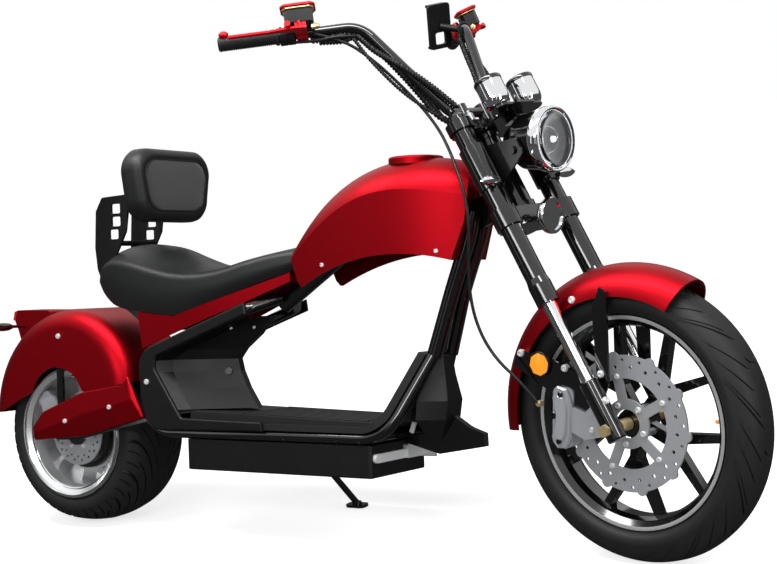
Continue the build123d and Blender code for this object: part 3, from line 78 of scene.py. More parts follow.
def placed(name, data):
    """A new object of the scene."""
    made = bpy.data.objects.new(name, data)
    bpy.context.scene.collection.objects.link(made)
    return made


steering_axis = Vector(joints["steering"]["axis"])
side = Vector(joints["rear_wheel_spin"]["axis"])
fork_forward = side.cross(steering_axis)
forward = math.cos(RAKE) * fork_forward - math.sin(RAKE) * steering_axis
upward = math.sin(RAKE) * fork_forward + math.cos(RAKE) * steering_axis
REAR_WHEEL = axes_at(Vector(joints["rear_wheel_spin"]["pos_m"]), forward, side, upward)
CHASSIS = axes_at(local(REAR_WHEEL, 0, 0, -REAR_TYRE_RADIUS), forward, side, upward)
front_side = Vector(joints["front_wheel_spin"]["axis"])
front_forward = front_side.cross(steering_axis)
FRONT_WHEEL = axes_at(Vector(joints["front_wheel_spin"]["pos_m"]), front_forward, front_side, steering_axis)
FORK = axes_at(local(FRONT_WHEEL, -FORK_OFFSET, 0, 0), front_forward, front_side, steering_axis)
ON_CHASSIS = ("chassis", CHASSIS)
ON_FORK = ("fork", FORK)
ON_FRONT_WHEEL = ("front_wheel", FRONT_WHEEL)
ON_REAR_WHEEL = ("rear_wheel", REAR_WHEEL)
print("chassis origin", [round(value, 4) for value in CHASSIS.translation])

# %% [markdown]
# ## Camera
# The photograph was taken from in front of the right side with a long lens. Its place was worked
# out against the upright scooter, so the camera is placed in the chassis' own frame and leans with
# it: the view of the scooter is then that of the photograph.

# %% Camera
CAMERA_SPOT = (2836.8, -2936.8, 597.2)
CAMERA_TURN = math.radians(34.07)
CAMERA_DROP = math.radians(1.89)
CAMERA_ROLL = math.radians(-1.74)
FOCAL_PIXELS = 1541.14
PICTURE_SIZE = (777, 564)
PICTURE_CENTRE = (364.17, 332.96)
SENSOR_MM = 36

level_look = Vector((-math.sin(CAMERA_TURN), math.cos(CAMERA_TURN), 0))
look = level_look * math.cos(CAMERA_DROP) - Vector((0, 0, math.sin(CAMERA_DROP)))
level_right = Vector((math.cos(CAMERA_TURN), math.sin(CAMERA_TURN), 0))
level_up = level_right.cross(look)
right = level_right * math.cos(CAMERA_ROLL) + level_up * math.sin(CAMERA_ROLL)
above = level_up * math.cos(CAMERA_ROLL) - level_right * math.sin(CAMERA_ROLL)
camera_data = bpy.data.cameras.new("camera")
camera_data.sensor_width = SENSOR_MM
camera_data.lens = FOCAL_PIXELS * SENSOR_MM / PICTURE_SIZE[0]
camera_data.shift_x = (PICTURE_SIZE[0] / 2 - PICTURE_CENTRE[0]) / PICTURE_SIZE[0]
camera_data.shift_y = (PICTURE_CENTRE[1] - PICTURE_SIZE[1] / 2) / PICTURE_SIZE[0]
camera = placed("camera", camera_data)
camera.matrix_world = CHASSIS @ axes_at(Vector(CAMERA_SPOT) * MM, right, above, -look)
bpy.context.scene.camera = camera
bpy.context.scene.view_settings.view_transform = "Standard"
print("lens", round(camera_data.lens, 2), "height", round(camera.matrix_world.translation.z, 3))

# %% [markdown]
# ## Shader arithmetic
# A pattern on a surface is mostly sums: a wave of one coordinate, a threshold, a mix. Wiring Math
# nodes by hand hides that, so a small class wraps a socket and lets Python's own operators add the
# nodes. Every other node comes from one method.

# %% Values and shaders


class Value:
    """A socket that takes part in sums: each operator adds one Math node."""

    def __init__(self, shader, socket):
        self.shader = shader
        self.socket = socket

    def calc(self, operation, *terms):
        inputs = {index: term for index, term in enumerate(terms)}
        return self.shader.node("ShaderNodeMath", {"operation": operation}, inputs)

    def __add__(self, other):
        return self.calc("ADD", self, other)

    def __mul__(self, other):
        return self.calc("MULTIPLY", self, other)

    def sine(self):
        return self.calc("SINE", self)

    def above(self, other):
        return self.calc("GREATER_THAN", self, other)


class Shader:
    """A material under construction: one Principled surface and whatever feeds it."""

    def __init__(self, name):
        self.material = bpy.data.materials.new(name)
        self.material.use_nodes = True
        self.tree = self.material.node_tree
        self.surface = self.tree.nodes["Principled BSDF"]

    def put(self, socket, value):
        if isinstance(value, Value):
            self.tree.links.new(value.socket, socket)
        else:
            socket.default_value = value

    def node(self, kind, settings=None, inputs=None, output=0):
        made = self.tree.nodes.new(kind)
        for key, value in (settings or {}).items():
            setattr(made, key, value)
        for key, value in (inputs or {}).items():
            self.put(made.inputs[key], value)
        return Value(self, made.outputs[output])

    def feed(self, **sockets):
        """Sets sockets of the surface by their names, written with _ for a space."""
        for key, value in sockets.items():
            self.put(self.surface.inputs[key.replace("_", " ")], value)

    def place(self):
        """The object's own coordinates, in metres."""
        return self.node("ShaderNodeTexCoord", output="Object")

    def part(self, vector, axis):
        """One coordinate of a vector."""
        return self.node("ShaderNodeSeparateXYZ", None, {0: vector}, output=axis)

    def noise(self, scale, detail=2.0, rough=0.5):
        return self.node("ShaderNodeTexNoise", None,
                         {"Vector": self.place(), "Scale": scale, "Detail": detail, "Roughness": rough})

    def cells(self, scale):
        return self.node("ShaderNodeTexVoronoi", None, {"Vector": self.place(), "Scale": scale})

    def mixed(self, factor, first, second):
        """A colour between two colours."""
        return self.node("ShaderNodeMix", {"data_type": "RGBA"}, {0: factor, 6: first, 7: second}, output=2)

    def between(self, factor, low, high):
        """A number between two numbers, by a factor from 0 to 1."""
        return self.node("ShaderNodeMapRange", None, {0: factor, 3: low, 4: high})

    def bump(self, height, depth, strength=1.0):
        """Relief of a depth in metres, fed to the surface's normal."""
        inputs = {"Height": height, "Distance": depth, "Strength": strength}
        self.feed(Normal=self.node("ShaderNodeBump", None, inputs))


def rgb(red, green, blue):
    return (red, green, blue, 1.0)


def grey(level):
    return rgb(level, level, level)


def shaded(colour, share):
    """A colour made darker by a share."""
    return rgb(*[part * share for part in colour])


# %% [markdown]
# ## Paints
# The covers are a satin candy red: metal flake under a tinted coat, so it is bright where it faces
# the lamps and almost black at the edges. A metallic surface of middle roughness does that, and a
# very fine noise breaks its highlights as flake does. The frame is plain gloss black.

# %% Paints
finishes = {}

candy = Shader("candy_red")
flake = candy.noise(2600, 2)
cloud = candy.noise(3.0, 1)
candy.feed(Base_Color=candy.mixed(cloud, rgb(0.3, 0.0015, 0.006), rgb(0.37, 0.0025, 0.008)),
           Roughness=candy.between(flake, 0.38, 0.46), Metallic=0.95)
candy.bump(flake, 0.00004, 0.35)
finishes["candy_red"] = candy.material


def black_paint(name, level, rough, coat):
    """Gloss black: a dark base with faint orange peel under a clear coat."""
    paint = Shader(name)
    peel = paint.noise(420, 2)
    shades = grey(level), rgb(level * 1.3, level * 1.3, level * 1.35)
    paint.feed(Base_Color=paint.mixed(paint.noise(14), *shades),
               Roughness=paint.between(peel, rough, rough + 0.06), Coat_Weight=coat, Coat_Roughness=0.06)
    paint.bump(peel, 0.00006, 0.5)
    return paint.material


BLACKS = {
    # name: level, roughness and weight of the clear coat
    "frame_black": (0.002, 0.1, 0.5),
    "fork_black": (0.002, 0.08, 0.6),
    "motor_black": (0.006, 0.34, 0.15),
    "dark_glass": (0.003, 0.05, 1.0),
}
for name, recipe in BLACKS.items():
    finishes[name] = black_paint(name, *recipe)

# %% [markdown]
# ## Plastics, rubber and cloth
# Moulded covers have a fine leathery texture that dulls them. Tyres and grips are duller still and
# pick up a little dust. Seats are leatherette: shallow cells with soft valleys between them.

# %% Plastics and rubbers


def moulded(name, level, rough, grain, depth):
    """Black moulded plastic or rubber, with a grain of that many cells per metre."""
    plastic = Shader(name)
    cells = plastic.cells(grain)
    wear = plastic.noise(22, 3)
    plastic.feed(Base_Color=plastic.mixed(wear, grey(level), grey(level * 1.5)),
                 Roughness=plastic.between(wear, rough, rough + 0.1), Specular_IOR_Level=0.28)
    plastic.bump(cells, depth, 0.6)
    return plastic.material


PLASTICS = {
    # name: level, roughness, cells per metre and their depth
    "cover_plastic": (0.003, 0.36, 1500, 0.00012),
    "footboard_rubber": (0.008, 0.5, 1300, 0.0002),
    "grip_rubber": (0.007, 0.5, 1800, 0.0001),
    "hose_rubber": (0.005, 0.38, 2600, 0.00006),
    "tyre": (0.007, 0.5, 1100, 0.00012),
}
for name, recipe in PLASTICS.items():
    finishes[name] = moulded(name, *recipe)

leather = Shader("seat_leather")
cells = leather.cells(620)
folds = leather.noise(26, 3)
leather.feed(Base_Color=leather.mixed(cells, rgb(0.004, 0.0045, 0.0045), rgb(0.009, 0.0095, 0.0095)),
             Roughness=leather.between(folds, 0.34, 0.46), Specular_IOR_Level=0.32)
leather.bump(cells + folds * 0.6, 0.00035, 0.7)
finishes["seat_leather"] = leather.material

weave = Shader("pad_fabric")
spot = weave.place()
THREAD = 2 * math.pi / 0.0032
woven = (weave.part(spot, "Y") * THREAD).sine() * (weave.part(spot, "Z") * THREAD).sine()
weave.feed(Base_Color=weave.mixed(woven.above(0.2), rgb(0.01, 0.01, 0.011), rgb(0.026, 0.027, 0.028)),
           Roughness=0.85, Sheen_Weight=0.2)
weave.bump(woven, 0.0005, 0.8)
finishes["pad_fabric"] = weave.material

# %% [markdown]
# ## Metals and lenses
# Chrome is a mirror with hardly any blur. Turned and brushed pieces have fine lines that widen their highlights.
# Lenses are clear or coloured plastic, and the coloured ones carry a painted glow in their own colour.

# %% Metals and lenses


def metal(name, colour, rough, spread, line, bare):
    """A metal whose roughness wanders a little, with fine scratches of a given pitch. Less bare
    metal looks cast or oxidised: it scatters light as well as mirroring it."""
    bright = Shader(name)
    scratch = bright.noise(line, 3, 0.6)
    bright.feed(Base_Color=bright.mixed(bright.noise(9), shaded(colour, 0.92), rgb(*colour)),
                Roughness=bright.between(scratch, rough, rough + spread), Metallic=bare)
    bright.bump(scratch, 0.00002, 0.4)
    return bright.material


METALS = {
    # name: colour, roughness and its spread, scratches per metre, share of bare metal
    "chrome": ((0.82, 0.83, 0.85), 0.035, 0.03, 90, 1.0),
    "bright_steel": ((0.72, 0.56, 0.3), 0.24, 0.1, 700, 0.8),
    "disc_steel": ((0.42, 0.43, 0.45), 0.32, 0.12, 900, 0.6),
    "polished_aluminium": ((0.8, 0.81, 0.82), 0.24, 0.1, 500, 0.8),
    "caliper_metal": ((0.38, 0.39, 0.41), 0.34, 0.1, 800, 0.5),
    "latch_metal": ((0.74, 0.75, 0.76), 0.26, 0.1, 600, 0.5),
    "anodised_red": ((0.55, 0.008, 0.014), 0.26, 0.08, 900, 0.8),
    "lamp_mirror": ((0.07, 0.075, 0.085), 0.1, 0.05, 200, 1.0),
}
for name, recipe in METALS.items():
    finishes[name] = metal(name, *recipe)


def coloured_lens(name, colour, rough, glow):
    """Clear coloured plastic over a prism: bright and glossy, with a painted glow in its own colour."""
    lens = Shader(name)
    prism = lens.cells(240)
    # The emission in the lens's own colour is a painted glow.
    lens.feed(Base_Color=lens.mixed(prism, shaded(colour, 0.8), rgb(*colour)), Roughness=rough,
              Coat_Weight=1.0, Coat_Roughness=0.04, Emission_Color=rgb(*colour), Emission_Strength=glow)
    lens.bump(prism, 0.0006, 0.8)
    return lens.material


LENSES = {
    # name: colour, roughness and strength of the painted glow
    "amber_plastic": ((0.95, 0.3, 0.01), 0.25, 0.12),
    "lamp_red": ((0.4, 0.006, 0.006), 0.2, 0.05),
    "white_lens": ((0.9, 0.92, 0.95), 0.2, 0.55),
}
for name, recipe in LENSES.items():
    finishes[name] = coloured_lens(name, *recipe)

glass = Shader("lamp_glass")
glass.feed(Base_Color=rgb(0.96, 0.97, 0.98), Roughness=0.02, Transmission_Weight=1.0, IOR=1.45)
finishes["lamp_glass"] = glass.material

# %% [markdown]
# ## Dressing the nodes
# Each node of the model names a material slot in the record, and the slot's name is the finish's.

# %% Give every node its finish
for row in frame["record"]["subparts"]:
    mesh = nodes[row["node"]].data
    mesh.materials.clear()
    mesh.materials.append(finishes[row["material_slot"]])
print("finishes", len(finishes))

# %% [markdown]
# ## Building meshes in millimetres
# Every new piece is drawn in one of the placement frames and stored with its place in its mesh, so
# its object stays at the origin as the model's own nodes do.

# %% Mesh helpers
CREASE = math.radians(38)


def finish_mesh(name, mesh, finish, body, stands_for=(), crease=CREASE):
    """Makes a piece of a mesh that lies in place: faces outwards, smooth but for its creases."""
    form = bmesh.new()
    form.from_mesh(mesh)
    bmesh.ops.remove_doubles(form, verts=form.verts, dist=1e-6)
    bmesh.ops.recalc_face_normals(form, faces=form.faces)
    form.to_mesh(mesh)
    form.free()
    mesh.materials.clear()
    mesh.materials.append(finishes[finish])
    mesh.shade_smooth()
    mesh.set_sharp_from_angle(angle=crease)
    made = placed(name, mesh)
    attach(made, body)
    if stands_for:
        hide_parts(*stands_for)
    return made


def piece(name, points, faces, finish, on, stands_for=(), crease=CREASE):
    """A piece of points and faces. on is the body it rides on and the frame its millimetres are in."""
    body, place = on
    mesh = bpy.data.meshes.new(name)
    mesh.from_pydata([local(place, *point) for point in points], [], faces)
    return finish_mesh(name, mesh, finish, body, stands_for, crease)


def grid_faces(rows, columns, close_rows=False, close_columns=False):
    """Quads between neighbours of a grid whose points are stored row by row."""
    faces = []
    for row in range(rows if close_rows else rows - 1):
        for column in range(columns if close_columns else columns - 1):
            after = (row + 1) % rows
            beside = (column + 1) % columns
            faces.append((row * columns + column, row * columns + beside, after * columns + beside,
                          after * columns + column))
    return faces


def curve_between(marks, steps):
    """Points of a smooth curve through marks in two or three dimensions, steps between each pair."""
    spots = [Vector(mark) for mark in marks]
    ends = [spots[0] * 2 - spots[1], *spots, spots[-1] * 2 - spots[-2]]
    line = []
    for before, start, end, after in zip(ends, ends[1:], ends[2:], ends[3:]):
        for step in range(steps):
            t = step / steps
            line.append(0.5 * (2 * start + (end - before) * t
                               + (2 * before - 5 * start + 4 * end - after) * t ** 2
                               + (3 * start - before - 3 * end + after) * t ** 3))
    line.append(spots[-1])
    return line


# %% [markdown]
# ## Tyres
# A tyre's section is the same all round, but its grooves are not. They all sweep the same way, so
# the grid that wraps the tyre is sheared along them: every groove then is a few neighbouring
# columns pushed inwards, with crisp edges and few faces.

# %% Tyres
GROOVE_WALL = 0.006
GROOVE_FADE = 0.08
PLAIN_COLUMNS = 12
COLUMN_GAP = 0.02


def tyre(name, crown, steps, wall, pitches, grooves, sweep, depth, on, stands_for):
    """A treaded tyre. crown and wall list (y, radius) of half its section: the crown is smoothed with
    that many steps, the wall runs to the bead without tread. Each groove is (phase, width, inner end,
    outer end): phase and width in pitches, its ends as shares of the way from the middle of the
    crown to the shoulder. sweep turns each row by pitches."""
    half = [tuple(mark) for mark in curve_between(crown, steps)] + wall
    section = [(-y, radius) for y, radius in reversed(half[1:])] + half
    first, last = len(wall), len(section) - 1 - len(wall)
    phases = {}
    for number, (phase, width, inner, outer) in enumerate(grooves):
        edge = width / 2 + GROOVE_WALL
        for offset, deep in ((-edge, False), (-width / 2, True), (width / 2, True), (edge, False)):
            phases[(phase + offset) % 1] = number if deep else None
    for step in range(PLAIN_COLUMNS):
        phase = step / PLAIN_COLUMNS
        if min(abs(phase - other) for other in phases) > COLUMN_GAP:
            phases[phase] = None
    columns = sorted(phases)
    middle = (first + last) / 2
    points = []
    for row, (y, radius) in enumerate(section):
        share = abs(row - middle) / (last - middle)
        for pitch in range(pitches):
            for phase in columns:
                sunk = 0
                if first <= row <= last and phases[phase] is not None:
                    inner, outer = grooves[phases[phase]][2:]
                    fade = min(1, (share - inner) / GROOVE_FADE + 0.5, (outer - share) / GROOVE_FADE + 0.5)
                    sunk = depth * max(0, fade)
                turn = 2 * math.pi * (pitch + phase + sweep(min(share, 1))) / pitches
                points.append((math.cos(turn) * (radius - sunk), y, math.sin(turn) * (radius - sunk)))
    faces = grid_faces(len(section), pitches * len(columns), close_rows=True, close_columns=True)
    made = piece(name, points, faces, "tyre", on, stands_for, math.radians(28))
    print(name, len(made.data.polygons), "faces")


tyre("front_tread", [(0, 297), (20, 293.4), (38, 283.6), (50, 268), (56, 250)], 6,
     [(55.4, 243), (54, 238), (51, 233), (45, 228.5), (42.5, 227.6), (42, 225.6), (38.2, 225), (35, 214.4)],
     10, [(0.12, 0.03, 0.2, 0.94), (0.2, 0.018, 0.3, 0.9), (0.46, 0.022, 0.34, 0.86),
          (0.74, 0.022, 0.26, 0.8), (0.9, 0.024, 0.02, 0.16)],
     lambda share: 0.75 * share ** 1.3, 4.5, ON_FRONT_WHEEL, ["front_tyre"])
tyre("rear_tread", [(0, 235), (30, 232.6), (56, 227.6), (80, 220.4), (95, 209)], 7,
     [(101, 200), (103, 192), (102, 181), (98.6, 173), (96, 170.2), (96, 168), (94, 152.4)],
     16, [(0.1, 0.09, 0.16, 1.2), (0.42, 0.04, 0.66, 1.2), (0.6, 0.05, 0.1, 0.62), (0.78, 0.03, 0.7, 1.2)],
     lambda share: 1.7 * (1 - (1 - share) ** 2.2), 6, ON_REAR_WHEEL, ["rear_tyre"])

# %% [markdown]
# ## Seat
# The seat is one moulded foam block under leatherette. Its sides stand almost upright, roll over a
# soft ridge and run up to a crown that is high behind the rider and sinks to a narrow nose at the
# tank. A row of cross sections says all of that: each has a lower edge, a ridge and a crown.

# %% Seat
SEAT_STATIONS = [
    # x, half width, lower edge, ridge, crown
    (108, 84, 606, 640, 662),
    (128, 100, 590, 662, 694),
    (170, 113, 562, 674, 706),
    (215, 121, 549, 672, 709),
    (262, 124, 542, 662, 705),
    (316, 125, 537, 648, 695),
    (376, 123, 531, 636, 672),
    (440, 118, 549, 633, 650),
    (505, 108, 569, 640, 648),
    (570, 96, 590, 657, 660),
    (640, 80, 612, 672, 677),
    (695, 66, 629, 678, 686),
    (718, 60, 636, 672, 683),
]
SIDE_STEPS = 7
ROLL_STEPS = 6
TOP_STEPS = 8
ROLL_RADIUS = 22
ROLL_TURN = math.radians(72)
LEAN = 8
BULGE = 5


def seat_outline(half, low, ridge, crown):
    """Half of a seat section as (y, z), from the lower edge to the middle of the crown."""
    roll = min(ROLL_RADIUS, (ridge - low) * 0.4)
    line = []
    for step in range(SIDE_STEPS):
        share = step / SIDE_STEPS
        line.append((half - LEAN + LEAN * share + BULGE * math.sin(math.pi * share),
                     low + (ridge - roll - low) * share))
    for step in range(ROLL_STEPS + 1):
        turn = ROLL_TURN * step / ROLL_STEPS
        line.append((half - roll + roll * math.cos(turn), ridge - roll + roll * math.sin(turn)))
    y, z = line.pop()
    for step in range(TOP_STEPS + 1):
        share = step / TOP_STEPS
        line.append((y * (1 - share), z + (crown - z) * math.sin(math.pi / 2 * share)))
    return line


def seat_ring(x, half, low, ridge, crown):
    """The whole closed section at x: over the top from right to left and back along the bottom."""
    over = seat_outline(half, low, ridge, crown)
    right_side = [(x, -y, z) for y, z in over]
    left_side = [(x, y, z) for y, z in reversed(over[:-1])]
    under = [(x, y * (half - LEAN), low + 1.5) for y in (0.6, 0.2, -0.2, -0.6)]
    return right_side + left_side + under


def smooth_stations(stations, steps):
    """Stations in between, on smooth curves through the listed ones."""
    curves = []
    for column in range(1, len(stations[0])):
        curves.append(curve_between([(row[0], row[column]) for row in stations], steps))
    return [(marks[0][0], *[mark[1] for mark in marks]) for marks in zip(*curves)]


rings = [seat_ring(*station) for station in smooth_stations(SEAT_STATIONS, 3)]
seat_columns = len(rings[0])
seat_points = [point for ring in rings for point in ring]
seat_faces = grid_faces(len(rings), seat_columns, close_columns=True)
for first in (0, len(rings) - 1):
    start = first * seat_columns
    centre = Vector((0, 0, 0))
    for point in rings[first]:
        centre += Vector(point) / seat_columns
    centre.x += -7 if first == 0 else 5
    seat_points.append(tuple(centre))
    hub = len(seat_points) - 1
    for column in range(seat_columns):
        seat_faces.append((start + column, start + (column + 1) % seat_columns, hub))
seat = piece("seat", seat_points, seat_faces, "seat_leather", ON_CHASSIS, ["seat_cushion"], math.radians(50))
print("seat", len(seat.data.polygons), "faces")

# %% [markdown]
# ## Brake hose
# The front brake hose leaves the master cylinder, hangs in a long curve behind the right fork leg and
# comes back to the caliper. It is a curve, so its length can be measured and changed by its points.

# %% Brake hose
HOSE_DIAMETER = 7
HOSE_ROUTE = [
    # forward, side, along
    (-96, -252, 1034), (-66, -212, 1000), (-52, -168, 940), (-44, -132, 872), (-38, -104, 806),
    (-34, -90, 744), (-30, -96, 690), (-22, -114, 640), (-20, -127, 590), (-34, -131, 540),
    (-64, -130, 492), (-100, -127, 446), (-132, -123, 398), (-152, -120, 346), (-158, -117, 292),
    (-150, -113, 240), (-134, -107, 196), (-126, -100, 160), (-122, -93, 128),
]
hose_data = bpy.data.curves.new("brake_line", "CURVE")
hose_data.dimensions = "3D"
hose_line = hose_data.splines.new("NURBS")
hose_line.points.add(len(HOSE_ROUTE) - 1)
for knot, mark in zip(hose_line.points, HOSE_ROUTE):
    knot.co = (*local(FORK, *mark), 1)
hose_line.order_u = 3
hose_line.use_endpoint_u = True
hose_data.resolution_u = 8
hose = placed("brake_line", hose_data)
thread = bpy.data.meshes.new_from_object(hose)
bpy.data.meshes.remove(thread)
hose_data.bevel_depth = HOSE_DIAMETER / 2 * MM
hose_data.bevel_resolution = 3
hose_data.use_fill_caps = True
hose_data.materials.append(finishes["hose_rubber"])
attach(hose, "fork")
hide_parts("brake_hose")

# %% [markdown]
# ## Turned, bent and flat shapes
# Nearly every small part is one of three things: turned on a lathe, bent from round stock or cut from
# plate. A Form gathers such shapes in one placement frame and becomes one piece at the end.

# %% Forms


class Form:
    """Points and faces of one piece, in millimetres of a placement frame."""

    def __init__(self):
        self.points = []
        self.faces = []

    def add(self, points, faces):
        start = len(self.points)
        self.points += [tuple(point) for point in points]
        self.faces += [tuple(start + corner for corner in face) for face in faces]
        return self

    def turned(self, origin, axis, profile, steps=32):
        """A body of revolution. profile lists (distance along the axis, radius) from end to end."""
        way = Vector(axis).normalized()
        across = way.orthogonal().normalized()
        beside = way.cross(across)
        points = []
        for distance, radius in profile:
            for step in range(steps):
                turn = 2 * math.pi * (step + 0.5) / steps
                outward = across * math.cos(turn) + beside * math.sin(turn)
                points.append(Vector(origin) + way * distance + outward * radius)
        return self.add(points, grid_faces(len(profile), steps, close_columns=True))

    def bent(self, route, radius, sides=10, closed=False):
        """Round stock along a route, capped at both ends. radius is one number or one for each point."""
        spots = [Vector(mark) for mark in route]
        count = len(spots)
        radii = radius if isinstance(radius, (list, tuple)) else [radius] * count
        before = [spots[index - 1] for index in range(count)]
        after = [spots[(index + 1) % count] for index in range(count)]
        if not closed:
            before[0] = spots[0]
            after[-1] = spots[-1]
        ways = [(end - start).normalized() for start, end in zip(before, after)]
        across = ways[0].orthogonal().normalized()
        points = []
        for spot, way, size in zip(spots, ways, radii):
            across = (across - way * across.dot(way)).normalized()
            beside = way.cross(across)
            for step in range(sides):
                turn = 2 * math.pi * step / sides
                points.append(spot + (across * math.cos(turn) + beside * math.sin(turn)) * size)
        faces = grid_faces(count, sides, close_rows=closed, close_columns=True)
        if not closed:
            faces += [tuple(range(sides)), tuple(range((count - 1) * sides, count * sides))]
        return self.add(points, faces)

    def plate(self, origin, across, up, outline, thickness, edge=1.0):
        """A plate cut to an outline of (across, up) points, with bevelled edges. It grows from the
        origin along across x up."""
        across = Vector(across).normalized()
        face_way = across.cross(Vector(up)).normalized()
        up = face_way.cross(across)
        count = len(outline)
        area = sum(a[0] * b[1] - b[0] * a[1] for a, b in zip(outline, outline[1:] + outline[:1]))
        inner = []
        for index, corner in enumerate(outline):
            spot = Vector(corner)
            back = (spot - Vector(outline[index - 1])).normalized()
            ahead = (Vector(outline[(index + 1) % count]) - spot).normalized()
            normal = Vector((-back.y - ahead.y, back.x + ahead.x)).normalized() * (1 if area > 0 else -1)
            inner.append(spot + normal * edge)
        bevel = min(edge, thickness * 0.4)
        rows = [(inner, 0), (outline, bevel), (outline, thickness - bevel), (inner, thickness)]
        points = []
        for row, depth in rows:
            for u, v in row:
                points.append(Vector(origin) + across * u + up * v + face_way * depth)
        faces = grid_faces(4, count, close_columns=True)
        faces += [tuple(range(count)), tuple(range(3 * count, 4 * count))]
        return self.add(points, faces)

    def made(self, name, finish, on, stands_for=(), crease=CREASE):
        return piece(name, self.points, self.faces, finish, on, stands_for, crease)


# %% [markdown]
# ## Placing things by the photograph
# Where a screw or a cable sits is read off the photograph as a place in the picture. A ray from the
# camera through that place either meets the model, for things that lie on a surface, or an upright
# plane along the scooter, for things that hang free.

# %% Rays through the picture
WORLD = Matrix.Scale(1, 4)
to_chassis = CHASSIS.inverted()
eye = Vector(CAMERA_SPOT)


def ray_way(across, down):
    """Direction of the ray through a place in the picture, in the upright scooter's frame."""
    return (look + right * ((across - PICTURE_CENTRE[0]) / FOCAL_PIXELS)
            - above * ((down - PICTURE_CENTRE[1]) / FOCAL_PIXELS)).normalized()


def seen_at(across, down, y):
    """The point in the upright plane at y that shows at a place in the picture."""
    way = ray_way(across, down)
    return eye + way * ((y - eye.y) / way.y)


def surface_tree(*names):
    """A search tree of the model's nodes, in metres."""
    points, faces = [], []
    for name in names:
        node = nodes[name]
        start = len(points)
        points += [node.matrix_world @ corner.co for corner in node.data.vertices]
        faces += [[start + corner for corner in face.vertices] for face in node.data.polygons]
    return BVHTree.FromPolygons(points, faces)


def met_at(across, down, *names):
    """Where the ray through a place in the picture meets the nodes, as a point and its normal."""
    start = CHASSIS @ (eye * MM)
    way = (CHASSIS.to_3x3() @ ray_way(across, down)).normalized()
    tree = surface_tree(*names)
    spot, normal = tree.ray_cast(start, way)[:2]
    if spot is None:
        beside = CHASSIS @ (seen_at(across, down, -120) * MM)
        spot, normal = tree.find_nearest(beside)[:2]
        print("beside", names[0], (across, down), "by", round((spot - beside).length, 3))
    if normal.dot(way) > 0:
        normal = -normal
    return spot, normal


# %% [markdown]
# ## Screws
# Screws repeat, so one is modelled and Geometry Nodes sets a copy on every marked place, turned to
# the surface there. The marks are points that carry a direction and a size.

# %% Screws by Geometry Nodes
SCREW_PROFILE = [(-0.8, 0), (-0.8, 0.95), (0.3, 1), (0.62, 0.86), (0.72, 0.55), (0.3, 0.5), (0.3, 0)]
screw = Form().turned((0, 0, 0), (0, 0, 1), SCREW_PROFILE, 12)
screw_mesh = bpy.data.meshes.new("screw")
screw_mesh.from_pydata([Vector(point) for point in screw.points], [], screw.faces)
screw_model = placed("screw", screw_mesh)


def screw_tree():
    """Copies of an object on points, along their facing and scaled by their size."""
    tree = bpy.data.node_groups.new("screws", "GeometryNodeTree")
    for name, way, kind in (("Marks", "INPUT", "Geometry"), ("Screw", "INPUT", "Object"),
                            ("Finish", "INPUT", "Material"), ("Screws", "OUTPUT", "Geometry")):
        tree.interface.new_socket(name, in_out=way, socket_type="NodeSocket" + kind)
    given = tree.nodes.new("NodeGroupInput")
    taken = tree.nodes.new("NodeGroupOutput")
    model = tree.nodes.new("GeometryNodeObjectInfo")
    facing, size = [tree.nodes.new("GeometryNodeInputNamedAttribute") for _ in range(2)]
    for read, name, kind in ((facing, "facing", "FLOAT_VECTOR"), (size, "size", "FLOAT")):
        read.data_type = kind
        read.inputs["Name"].default_value = name
    turn = tree.nodes.new("FunctionNodeAlignRotationToVector")
    turn.axis = "Z"
    copies = tree.nodes.new("GeometryNodeInstanceOnPoints")
    real = tree.nodes.new("GeometryNodeRealizeInstances")
    coat = tree.nodes.new("GeometryNodeSetMaterial")
    for source, target in ((given.outputs["Marks"], copies.inputs["Points"]),
                           (given.outputs["Screw"], model.inputs["Object"]),
                           (model.outputs["Geometry"], copies.inputs["Instance"]),
                           (facing.outputs["Attribute"], turn.inputs["Vector"]),
                           (turn.outputs["Rotation"], copies.inputs["Rotation"]),
                           (size.outputs["Attribute"], copies.inputs["Scale"]),
                           (copies.outputs["Instances"], real.inputs["Geometry"]),
                           (real.outputs["Geometry"], coat.inputs["Geometry"]),
                           (given.outputs["Finish"], coat.inputs["Material"]),
                           (coat.outputs["Geometry"], taken.inputs["Screws"])):
        tree.links.new(source, target)
    return tree


screws = screw_tree()


def screwed(name, finish, body, marks):
    """One piece of screws. marks lists (point, direction, radius in millimetres), points in metres."""
    mesh = bpy.data.meshes.new(name)
    mesh.from_pydata([mark[0] for mark in marks], [], [])
    mesh.attributes.new("facing", "FLOAT_VECTOR", "POINT")
    mesh.attributes.new("size", "FLOAT", "POINT")
    for index, (spot, way, radius) in enumerate(marks):
        mesh.attributes["facing"].data[index].vector = way
        mesh.attributes["size"].data[index].value = radius * MM
    holder = placed(name + "_marks", mesh)
    spread = holder.modifiers.new("screws", "NODES")
    spread.node_group = screws
    inputs = {item.name: item.identifier for item in screws.interface.items_tree if item.in_out == "INPUT"}
    for key, value in (("Screw", screw_model), ("Finish", finishes[finish])):
        spread[inputs[key]] = value
    bpy.context.view_layer.update()
    real = bpy.data.meshes.new_from_object(holder.evaluated_get(bpy.context.evaluated_depsgraph_get()))
    bpy.data.objects.remove(holder)
    finish_mesh(name, real, finish, body)


def on_both(mark, radius):
    """A mark on the side that shows and the same on the far side of the chassis."""
    spot, way = mark
    far_spot, far_way = to_chassis @ spot, to_chassis.to_3x3() @ way
    far_spot.y = -far_spot.y
    far_way.y = -far_way.y
    return [(spot, way, radius), (CHASSIS @ far_spot, CHASSIS.to_3x3() @ far_way, radius)]


